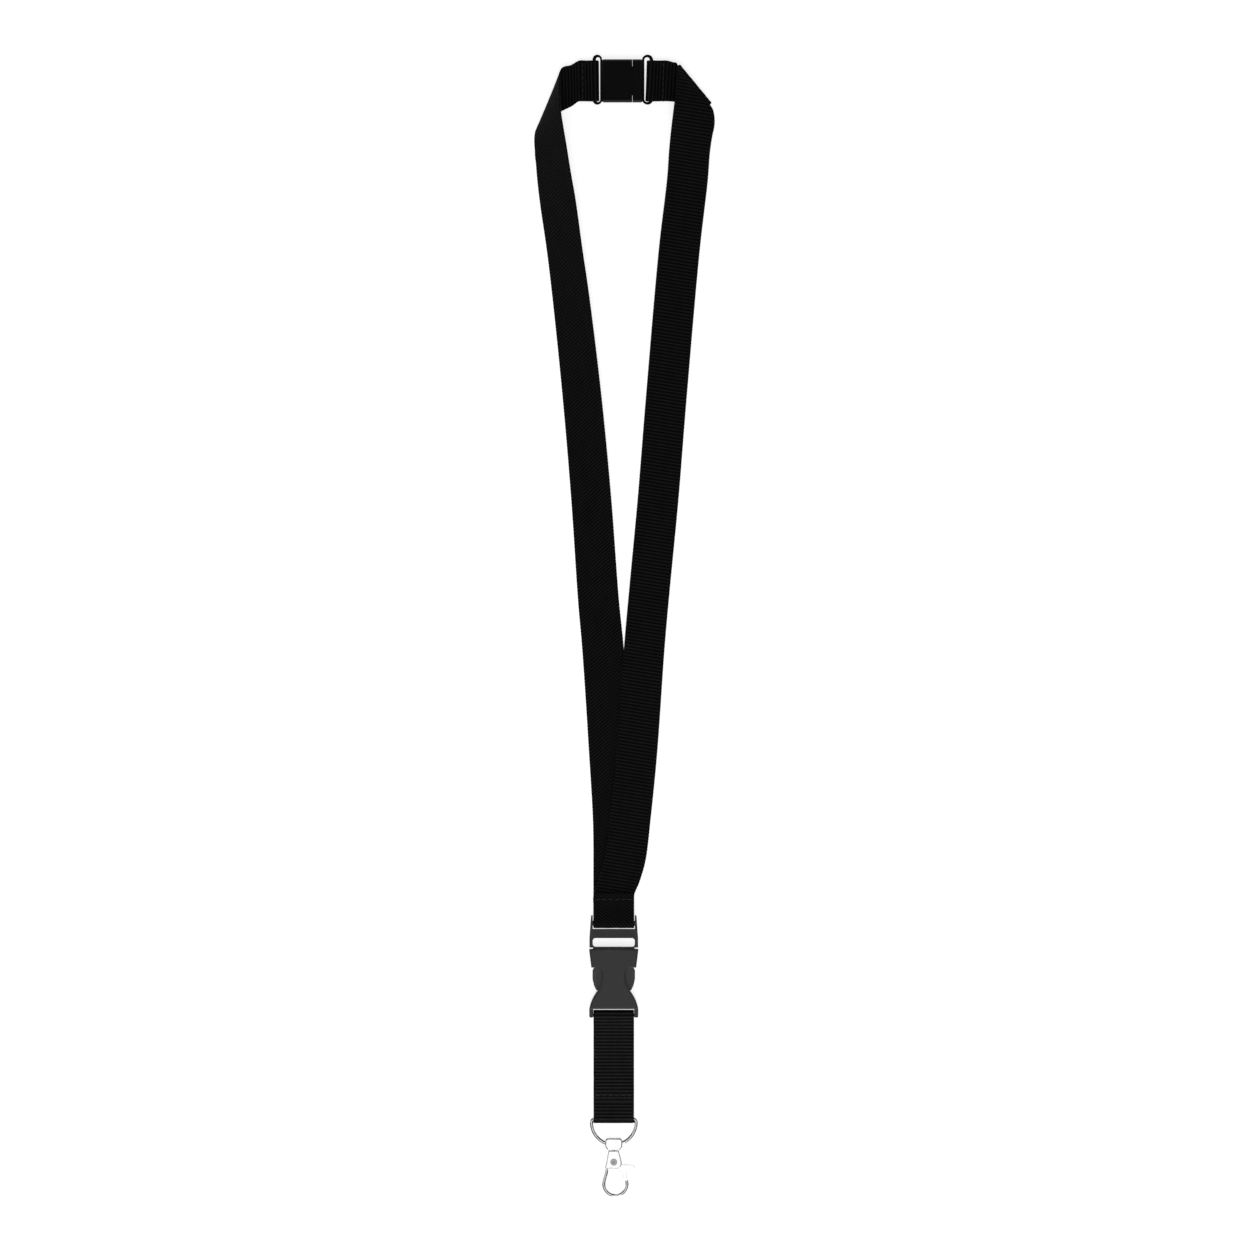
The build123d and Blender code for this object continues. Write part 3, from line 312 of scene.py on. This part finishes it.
def dull(material, specular):
    """A weaker reflection for plastic that looks nearly black."""
    shader = next(node for node in material.node_tree.nodes if node.type == "BSDF_PRINCIPLED")
    shader.inputs["Specular IOR Level"].default_value = specular


def round_edges(material, radius):
    """Sharp edges shade as if rounded by radius, so that plated edges mirror the sides of the room."""
    tree = material.node_tree
    bump = next(node for node in tree.nodes if node.type == "BUMP")
    rounded = add_node(tree, "ShaderNodeBevel")
    rounded.inputs["Radius"].default_value = radius
    tree.links.new(rounded.outputs[0], bump.inputs["Normal"])


# %% The finishes themselves
buckle_plastic = grained_material(
    "buckle_plastic", (0.020, 0.020, 0.021), (0.028, 0.028, 0.029), 0.36, 0.46, scale=1400.0, depth=0.02,
)
arm_plastic = grained_material(
    "arm_plastic", (0.026, 0.026, 0.027), (0.034, 0.034, 0.035), 0.34, 0.44, scale=1400.0, depth=0.02,
)
clasp_plastic = grained_material(
    "clasp_plastic", (0.0016, 0.0016, 0.0017), (0.0030, 0.0030, 0.0032), 0.42, 0.52, scale=1400.0,
    depth=0.02,
)
nickel = grained_material(
    "bright_nickel", (0.50, 0.50, 0.50), (0.57, 0.57, 0.56), 0.10, 0.20, 1.0, scale=2500.0, patch=160.0,
    depth=0.003,
)
dull(clasp_plastic, 0.14)
dull(buckle_plastic, 0.42)
round_edges(nickel, 0.4 * MM)
rivet_steel = grained_material(
    "rivet_steel", (0.20, 0.20, 0.20), (0.30, 0.30, 0.30), 0.22, 0.34, 1.0, scale=2500.0, patch=300.0,
    depth=0.004,
)
spring_steel = grained_material(
    "spring_steel", (0.30, 0.30, 0.31), (0.38, 0.38, 0.39), 0.28, 0.38, 1.0, scale=2500.0, patch=300.0,
    depth=0.004,
)
round_edges(rivet_steel, 0.2 * MM)
print("grained finishes: 6")


# %% Sewing thread
def thread_material():
    material, shader = new_material("sewing_thread", (0.010, 0.010, 0.011), 0.55)
    tree = material.node_tree
    spot = add_node(tree, "ShaderNodeTexCoord")
    turn = add_node(tree, "ShaderNodeMapping")
    turn.inputs["Rotation"].default_value = (0.0, 0.0, math.radians(35.0))
    twist = add_node(tree, "ShaderNodeTexWave", wave_type="BANDS", bands_direction="X")
    twist.inputs["Scale"].default_value = 1100.0
    twist.inputs["Distortion"].default_value = 1.5
    tree.links.new(spot.outputs["Object"], turn.inputs["Vector"])
    tree.links.new(turn.outputs[0], twist.inputs["Vector"])
    # The twist bands also paint the thread lighter on its raised plies and darker between them: a painted highlight
    # and painted shade.
    ramp = add_node(tree, "ShaderNodeValToRGB")
    ramp.color_ramp.elements[0].color = (0.006, 0.006, 0.0065, 1.0)
    ramp.color_ramp.elements[1].color = (0.020, 0.020, 0.021, 1.0)
    tree.links.new(twist.outputs["Fac"], ramp.inputs[0])
    tree.links.new(ramp.outputs[0], shader.inputs["Base Color"])
    bump = add_node(tree, "ShaderNodeBump")
    bump.inputs["Strength"].default_value = 0.8
    bump.inputs["Distance"].default_value = 0.05 * MM
    tree.links.new(twist.outputs["Fac"], bump.inputs["Height"])
    tree.links.new(bump.outputs[0], shader.inputs["Normal"])
    return material


thread = thread_material()

# %% [markdown]
# ## Webbing, modelled directly
#
# A strap this narrow doesn't need cloth simulation: its shape is set by where it is folded and sewn. Each
# strap is a list of stations, and a station is the strap's two edges at one place. A smooth curve runs
# through the stations, and a closed section with rounded selvedges is carried along it. The ribs are real
# relief in the mesh, and the finer yarns are left to the weave finish.

# %% Strap dimensions
STRAP_WIDTH = 20.0 * MM
HANGER_WIDTH = 19.8 * MM
HALF_THICK = 0.43 * MM
RIB_PITCH = RIB_PITCH_MM * MM
RIB_HEIGHT = 0.045 * MM
SELVEDGE = 1.3 * MM
EDGE_ROUND = 0.45 * MM
STEP = 0.4 * MM


def smooth_stations(stations, step=STEP):
    """Points on a centripetal curve through the stations, as rows of both edges' coordinates."""
    nodes = np.array([[*first, *second] for first, second in stations], dtype=float)
    nodes = np.vstack([2 * nodes[0] - nodes[1], nodes, 2 * nodes[-1] - nodes[-2]])
    rows = []
    for i in range(1, len(nodes) - 2):
        a, b, c, d = nodes[i - 1:i + 3]
        t1 = np.linalg.norm(b - a) ** 0.5
        t2 = t1 + np.linalg.norm(c - b) ** 0.5
        t3 = t2 + np.linalg.norm(d - c) ** 0.5
        count = max(2, int(np.linalg.norm(c - b) / math.sqrt(2) / step))
        for t in np.linspace(t1, t2, count, endpoint=False):
            ab = ((t1 - t) * a + t * b) / t1
            bc = ((t2 - t) * b + (t - t1) * c) / (t2 - t1)
            cd = ((t3 - t) * c + (t - t2) * d) / (t3 - t2)
            abc = ((t2 - t) * ab + t * bc) / t2
            bcd = ((t3 - t) * bc + (t - t1) * cd) / (t3 - t1)
            rows.append(((t2 - t) * abc + (t - t1) * bcd) / (t2 - t1))
    rows.append(nodes[-2])
    return np.array(rows)


# %% The strap's section
def section_places(count=20):
    """Places across the strap from -1 to 1, closer together at the selvedges."""
    return np.sin(np.linspace(-math.pi / 2, math.pi / 2, count))


def build_webbing(name, stations, material):
    """A closed, ribbed strap through the stations, with a UV map in millimetres."""
    rows = smooth_stations(stations)
    first, second = rows[:, :3], rows[:, 3:]
    middle = (first + second) / 2
    across = first - second
    width = np.linalg.norm(across, axis=1)
    across /= width[:, None]
    along = np.gradient(middle, axis=0)
    along -= across * np.sum(along * across, axis=1)[:, None]
    along /= np.linalg.norm(along, axis=1)[:, None]
    normal = np.cross(along, across)
    run_first = np.concatenate([[0], np.cumsum(np.linalg.norm(np.diff(first, axis=0), axis=1))])
    run_second = np.concatenate([[0], np.cumsum(np.linalg.norm(np.diff(second, axis=0), axis=1))])
    places = section_places()
    share = (1 + places) / 2
    run = run_second[:, None] * (1 - share) + run_first[:, None] * share
    from_edge = (1 - np.abs(places))[None, :] * width[:, None] / 2
    rib = np.cos(run * 2 * math.pi / RIB_PITCH)
    in_round = np.clip(from_edge / EDGE_ROUND, 0, 1)
    height = HALF_THICK * np.sqrt(1 - (1 - in_round) ** 2)
    cord = np.exp(-((from_edge - SELVEDGE * 0.5) / (SELVEDGE * 0.35)) ** 2)
    relief = (RIB_HEIGHT * rib + 0.035 * MM * cord) * in_round
    half = (width[:, None] / 2) * places[None, :] + 0.05 * MM * rib * (1 - in_round) * np.sign(places)[None, :]
    top = middle[:, None] + across[:, None] * half[..., None] + normal[:, None] * (height + relief)[..., None]
    low = middle[:, None] + across[:, None] * half[..., None] - normal[:, None] * (height + relief)[..., None]
    ring = np.concatenate([top, low[:, ::-1][:, 1:-1]], axis=1)
    count, size = ring.shape[:2]
    columns = len(places)
    ring_places = np.concatenate([np.arange(columns), np.arange(columns)[::-1][1:-1]])
    faces = []
    for i in range(count - 1):
        base, after = i * size, (i + 1) * size
        for j in range(size):
            k = (j + 1) % size
            faces.append((base + j, after + j, after + k, base + k))
    for end, turn in ((0, 1), (count - 1, -1)):
        base = end * size
        for j in range(columns - 1):
            low_j = base + (size - j) % size
            low_k = base + (size - j - 1) % size
            low_k = base + j + 1 if j + 1 == columns - 1 else low_k
            quad = [base + j, base + j + 1, low_k, low_j]
            quad = list(dict.fromkeys(quad))
            faces.append(tuple(quad[::turn]))
    mesh = bpy.data.meshes.new(name)
    mesh.from_pydata(ring.reshape(-1, 3).tolist(), [], faces)
    uv = mesh.uv_layers.new(name="webbing_mm")
    spots = np.empty(len(mesh.loops), dtype=np.int32)
    mesh.loops.foreach_get("vertex_index", spots)
    row, column = spots // size, ring_places[spots % size]
    flat = np.stack([half[row, column], run[row, column]], axis=1) / MM
    uv.data.foreach_set("uv", flat.astype(np.float32).ravel())
    mesh.materials.append(material)
    mesh.polygons.foreach_set("use_smooth", [True] * len(mesh.polygons))
    mesh.validate()
    piece = bpy.data.objects.new(name, mesh)
    bpy.context.collection.objects.link(piece)
    repair = bmesh.new()
    repair.from_mesh(mesh)
    bmesh.ops.recalc_face_normals(repair, faces=repair.faces)
    repair.to_mesh(mesh)
    repair.free()
    length = (run_first[-1] + run_second[-1]) / 2
    print(name, "length", round(length, 4), "m, faces", len(mesh.polygons))
    return piece


# %% Turns of webbing round a bar
def centre_of(node):
    """The middle of a frame node's box."""
    low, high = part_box(node)
    return (low + high) / 2


BAR_HALF = 0.85 * MM
CLASP_Y = centre_of("loop_stitches_left").y
CLASP_Z = centre_of("clasp_socket").z
BUCKLE_X, _, BUCKLE_Z = centre_of("buckle_female")
METAL_Z = centre_of("d_ring").z
print("clasp at", round(CLASP_Y, 4), round(CLASP_Z, 4), "buckle at", round(BUCKLE_X, 4), round(BUCKLE_Z, 4))


def turn_round(radius, start, end, steps=14):
    """Offsets (outward, up) along a turn round a bar, angles in degrees."""
    angles = np.radians(np.linspace(start, end, steps + 1))
    return [(radius * math.cos(a), radius * math.sin(a)) for a in angles]


def across_y(x, z, width=STRAP_WIDTH):
    """A station over the clasp's loop, its first edge towards +Y."""
    return ((x, CLASP_Y + width / 2, z), (x, CLASP_Y - width / 2, z))


def loop_turn(bar_x, way, reach):
    """The turn round the clasp's loop: close to the bar towards +Y, and bulging out by reach at the other edge."""
    bulge = reach / LOOP_TURN
    return [
        (
            (bar_x + way * out, CLASP_Y + STRAP_WIDTH / 2, CLASP_Z + up),
            (bar_x + way * (bulge * out if out > 0 else out), CLASP_Y - STRAP_WIDTH / 2, CLASP_Z + up),
        )
        for out, up in turn_round(LOOP_TURN, -100, 100)
    ]


def across_x(y, z, width=STRAP_WIDTH, side=1):
    """A station over the buckle's bars; side 1 puts the first edge towards +X."""
    return ((BUCKLE_X + side * width / 2, y, z), (BUCKLE_X - side * width / 2, y, z))


def fold_over(top, foot, radius, steps=6):
    """Stations round a flat fold: the strap comes in below the crease and leaves above it."""
    run_x, run_y = foot[0] - top[0], foot[1] - top[1]
    length = math.hypot(run_x, run_y)
    stations = []
    for step in range(steps + 1):
        angle = math.radians(-90 + 180 * step / steps)
        out, up = radius * math.cos(angle), radius * math.sin(angle)
        shift = (-run_y / length * out, run_x / length * out, up)
        stations.append(tuple(tuple(a + b for a, b in zip(edge, shift)) for edge in (top, foot)))
    return stations


def millimetres(stations):
    """Stations written in millimetres, as metres."""
    return [tuple(tuple(value * MM for value in edge) for edge in station) for station in stations]


# %% [markdown]
# ### Left neck strap
#
# It starts under the clasp's loop bar, comes round it and runs left, rolls over a slanting crease at the
# corner, and its leg comes down in front, standing on its outer edge until it settles flat. At the foot it
# goes behind the buckle, round the top bar, and its end is folded up in front and sewn through.

# %% Left neck strap
LOOP_TURN = 1.86 * MM
LEFT_REACH = 2.1 * MM
RIGHT_REACH = 2.6 * MM
LOOP_LAYER = 0.55 * MM
LEFT_BAR_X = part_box("clasp_socket")[0].x + BAR_HALF
left = [across_y(-22.5 * MM, CLASP_Z - LOOP_LAYER), across_y(-19.0 * MM, CLASP_Z - LOOP_LAYER)]
left += loop_turn(LEFT_BAR_X, 1, LEFT_REACH)
left += [across_y(-19.0 * MM, CLASP_Z + LOOP_LAYER), across_y(-22.3 * MM, CLASP_Z + LOOP_LAYER)]
left += millimetres([
    ((-26.6, 274.6, 4.0), (-26.2, 254.4, 3.0)),
    ((-29.4, 274.0, 4.6), (-31.5, 251.8, 2.2)),
    ((-31.2, 272.7, 5.6), (-38.6, 247.2, 1.3)),
    ((-31.7, 269.8, 7.4), (-43.2, 243.0, 1.0)),
    ((-31.8, 264.0, 9.6), (-44.2, 239.6, 1.5)),
    ((-31.6, 257.4, 11.4), (-44.3, 236.4, 1.9)),
    ((-31.3, 251.4, 12.4), (-44.1, 233.0, 1.9)),
    ((-30.3, 244.9, 12.8), (-44.0, 229.8, 1.6)),
    ((-28.6, 235.0, 12.6), (-43.6, 226.4, 1.2)),
    ((-26.6, 222.4, 12.2), (-43.0, 219.0, 0.9)),
    ((-24.2, 208.8, 11.5), (-41.6, 206.8, 0.8)),
    ((-21.0, 185.8, 10.4), (-38.3, 184.0, 0.8)),
    ((-17.4, 161.2, 9.0), (-35.4, 159.4, 0.7)),
    ((-11.4, 111.8, 6.0), (-30.4, 110.0, 0.7)),
    ((-6.7, 62.6, 2.8), (-26.3, 61.0, 0.6)),
    ((-3.0, 13.4, 0.7), (-23.0, 12.0, 0.55)),
    ((-0.6, -11.0, 0.55), (-20.9, -12.4, 0.55)),
    ((2.3, -60.0, 0.55), (-17.7, -61.4, 0.55)),
    ((4.3, -96.0, 0.55), (-15.7, -96.8, 0.55)),
])
STACK_BACK_Z = 1.4 * MM
STACK_MIDDLE_Z = 2.75 * MM
STACK_FRONT_Z = 4.1 * MM
TOP_BAR_Y = -145.5 * MM
TOP_TURN = 1.95 * MM
left += [across_x(-126.0 * MM, STACK_BACK_Z), across_x(-138.5 * MM, STACK_BACK_Z)]
left += [across_x(TOP_BAR_Y - dy, BUCKLE_Z + dz) for dy, dz in turn_round(TOP_TURN, -100, 100)]
left += [across_x(-138.9 * MM, STACK_FRONT_Z), across_x(-130.8 * MM, STACK_FRONT_Z)]
left_webbing = build_webbing("left_neck_webbing", left, strap_black)
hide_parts("neck_strap_left")
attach(left_webbing, "left_half")

# %% [markdown]
# ### Right neck strap
#
# The mirror start, then a sharper diagonal fold. Its leg crosses over the left one on its way down and ends
# between the left strap's two layers. When the clasp comes open this strap swings aside.

# %% Right neck strap
CREASE_TOP = (25.9, 274.2, 5.0)
CREASE_FOOT = (41.6, 255.4, 2.0)
CREASE_RADIUS = 0.8
RIGHT_BAR_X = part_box("clasp_plug")[1].x - BAR_HALF
right = [across_y(20.2 * MM, CLASP_Z - LOOP_LAYER), across_y(16.9 * MM, CLASP_Z - LOOP_LAYER)]
right += loop_turn(RIGHT_BAR_X, -1, RIGHT_REACH)
right += [across_y(16.9 * MM, CLASP_Z + LOOP_LAYER), across_y(20.4 * MM, CLASP_Z + LOOP_LAYER)]
right += millimetres([
    ((23.8, 276.0, 3.8), (27.0, 256.4, 2.4)),
    ((25.2, 275.8, 4.0), (34.0, 255.4, 1.6)),
    *fold_over(CREASE_TOP, CREASE_FOOT, CREASE_RADIUS),
    ((26.0, 271.4, 6.9), (43.2, 252.4, 2.4)),
    ((25.6, 267.4, 8.0), (43.9, 248.6, 2.2)),
    ((24.6, 260.0, 9.0), (43.8, 244.6, 2.1)),
    ((23.7, 252.6, 8.8), (42.9, 240.4, 2.0)),
    ((22.6, 243.6, 7.6), (42.2, 236.2, 1.6)),
    ((21.6, 233.6, 5.8), (41.5, 230.6, 1.2)),
    ((20.6, 219.4, 4.2), (40.6, 218.4, 0.9)),
    ((16.6, 185.2, 2.4), (36.6, 183.6, 0.8)),
    ((10.2, 112.0, 1.2), (30.1, 110.0, 0.8)),
    ((6.2, 62.6, 0.9), (26.1, 60.6, 0.8)),
    ((2.4, 22.0, 1.3), (22.2, 20.2, 0.9)),
    ((-0.3, -8.0, 1.95), (19.5, -9.8, 1.7)),
    ((-4.0, -60.0, 1.95), (15.8, -62.0, 1.95)),
    ((-7.2, -92.0, 2.05), (12.6, -94.4, 2.05)),
    ((-9.6, -112.0, 2.4), (10.0, -115.4, 2.4)),
    ((-12.6, -122.6, 2.75), (7.0, -125.6, 2.75)),
])
right += [across_x(-132.0 * MM, STACK_MIDDLE_Z, side=-1), across_x(-137.2 * MM, STACK_MIDDLE_Z, side=-1)]
right_webbing = build_webbing("right_neck_webbing", right, strap_black)
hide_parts("neck_strap_right")
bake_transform(right_webbing)

# %% [markdown]
# ### Hanger
#
# One short band: it goes up the front, round the buckle's bar, down the back and round the D-ring's bar,
# and its two ends overlap in front and are sewn. The cut end shows as a small step below the stitches.

# %% Hanger
HANGER_BAR_Y = -190.5 * MM
UPPER_TURN = 1.55 * MM
UPPER_BULGE = 1.45
RING_BAR_Y = -241.4 * MM
LOWER_TURN = 1.65 * MM
SEAM_Y = centre_of("hanger_stitches").y
HANGER_MIDDLE_Z = 3.1 * MM
HANGER_LAYER = 0.54 * MM
hanger = [
    across_x(-232.6 * MM, HANGER_MIDDLE_Z + 2.7 * HANGER_LAYER, HANGER_WIDTH),
    across_x(-225.5 * MM, HANGER_MIDDLE_Z + 2.7 * HANGER_LAYER, HANGER_WIDTH),
    across_x(-214.0 * MM, HANGER_MIDDLE_Z + 1.1 * HANGER_LAYER, HANGER_WIDTH),
    across_x(-198.0 * MM, HANGER_MIDDLE_Z + 0.45 * MM + HANGER_LAYER, HANGER_WIDTH),
]
hanger += [
    across_x(HANGER_BAR_Y + UPPER_BULGE * dy, BUCKLE_Z + dz, HANGER_WIDTH)
    for dy, dz in turn_round(UPPER_TURN, 105, -105)
]
hanger += [
    across_x(-198.0 * MM, HANGER_MIDDLE_Z + 0.45 * MM - HANGER_LAYER, HANGER_WIDTH),
    across_x(-214.0 * MM, HANGER_MIDDLE_Z - HANGER_LAYER, HANGER_WIDTH),
    across_x(-234.0 * MM, HANGER_MIDDLE_Z - HANGER_LAYER, HANGER_WIDTH),
]
hanger += [across_x(RING_BAR_Y - dy, METAL_Z + dz, HANGER_WIDTH) for dy, dz in turn_round(LOWER_TURN, -105, 105)]
hanger += [
    across_x(-234.6 * MM, HANGER_MIDDLE_Z + HANGER_LAYER, HANGER_WIDTH),
    across_x(-226.5 * MM, HANGER_MIDDLE_Z + HANGER_LAYER, HANGER_WIDTH),
]
hanger_webbing = build_webbing("hanger_band", hanger, hanger_black)
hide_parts("hanger_strap")
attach(hanger_webbing, "hanger")

# %% [markdown]
# ## Stitches
#
# A lockstitch shows as short runs of thread that rise out of one hole and dive into the next. Each run is a
# bent tube, fattest in the middle, and a row is the same run repeated at the machine's pitch.

# %% Stitch rows
STITCH_PITCH = 3.1 * MM
STITCH_LENGTH = 2.3 * MM
THREAD_RADIUS = 0.21 * MM


def stitch_row(name, centre, along_x, count, node, body):
    """A row of thread runs lying on the webbing, centred on a point of its surface."""
    mesh = bpy.data.meshes.new(name)
    build = bmesh.new()
    rings, sides = 11, 10
    for index in range(count):
        offset = (index - (count - 1) / 2) * STITCH_PITCH
        loops = []
        for step in range(rings):
            share = step / (rings - 1)
            arc = math.sin(share * math.pi)
            forward = offset + (share - 0.5) * STITCH_LENGTH
            rise = arc * 0.22 * MM - 0.16 * MM
            radius = THREAD_RADIUS * (0.62 + 0.38 * arc)
            loop = []
            for side in range(sides):
                angle = 2 * math.pi * side / sides
                sideways, up = radius * math.cos(angle), rise + radius * math.sin(angle)
                spot = (forward, sideways, up) if along_x else (sideways, forward, up)
                loop.append(build.verts.new(Vector(centre) + Vector(spot)))
            loops.append(loop)
        for first, second in zip(loops, loops[1:]):
            for side in range(sides):
                after = (side + 1) % sides
                build.faces.new((first[side], first[after], second[after], second[side]))
        build.faces.new(loops[0][::-1])
        build.faces.new(loops[-1])
    bmesh.ops.recalc_face_normals(build, faces=build.faces)
    for face in build.faces:
        face.smooth = True
    build.to_mesh(mesh)
    build.free()
    mesh.materials.append(thread)
    piece = bpy.data.objects.new(name, mesh)
    bpy.context.collection.objects.link(piece)
    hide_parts(node)
    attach(piece, body)
    print(name, "runs:", count)
    return piece


TOP_OF_LAYER = HALF_THICK + 0.02 * MM
loop_top = CLASP_Z + LOOP_LAYER + TOP_OF_LAYER
stitch_row(
    "seam_thread", (BUCKLE_X, centre_of("seam_stitches").y, STACK_FRONT_Z + TOP_OF_LAYER), True, 6,
    "seam_stitches", "left_half",
)
stitch_row(
    "left_loop_thread", (centre_of("loop_stitches_left").x, CLASP_Y, loop_top), False, 6,
    "loop_stitches_left", "left_half",
)
stitch_row(
    "right_loop_thread", (centre_of("loop_stitches_right").x, CLASP_Y, loop_top), False, 6,
    "loop_stitches_right", "right_half",
)
hanger_top = HANGER_MIDDLE_Z + 2.7 * HANGER_LAYER + TOP_OF_LAYER
stitch_row("hanger_thread", (BUCKLE_X, SEAM_Y, hanger_top), True, 6, "hanger_stitches", "hanger")

# %% [markdown]
# ## Finishes for the hard parts
#
# The clasp, the buckle, the ring and the hook keep the frame's own shapes. Each only needs its finish.

# %% Give every hard part its finish
FINISHES = {
    "clasp_socket": clasp_plastic,
    "clasp_plug": clasp_plastic,
    "buckle_male_frame": buckle_plastic,
    "buckle_arm_left": arm_plastic,
    "buckle_arm_right": arm_plastic,
    "buckle_female": buckle_plastic,
    "d_ring": nickel,
    "swivel_saddle": nickel,
    "swivel_pin": rivet_steel,
    "hook_body": nickel,
    "hook_gate": nickel,
    "gate_rivet": rivet_steel,
    "gate_spring": spring_steel,
}
for node, material in FINISHES.items():
    part = bpy.data.objects[node]
    if not part.material_slots:
        part.data.materials.append(material)
    for slot in part.material_slots:
        slot.material = material
print("hard parts finished:", len(FINISHES))

# %% [markdown]
# ## Floor
#
# A plain pale floor, a hair below the parts. It glows a little, like a light table, so that it stays pale in
# the narrow gaps of the buckle and the ring. It is stage, so it isn't part of the lanyard.

# %% Floor
FLOOR_DROP = 0.3 * MM
FLOOR_GLOW = 0.75
floor_mesh = bpy.data.meshes.new("pale_floor")
floor_mesh.from_pydata([(-4, -4, 0), (4, -4, 0), (4, 4, 0), (-4, 4, 0)], [], [(0, 1, 2, 3)])
floor = bpy.data.objects.new("pale_floor", floor_mesh)
floor.location = (0, 0, -FLOOR_DROP)
bpy.context.collection.objects.link(floor)
floor_white, floor_shader = new_material("floor_white", (0.93, 0.93, 0.93), 0.9)
floor_shader.inputs["Emission Color"].default_value = (1.0, 1.0, 1.0, 1.0)
floor_shader.inputs["Emission Strength"].default_value = FLOOR_GLOW
floor_mesh.materials.append(floor_white)
print("floor at", -FLOOR_DROP)
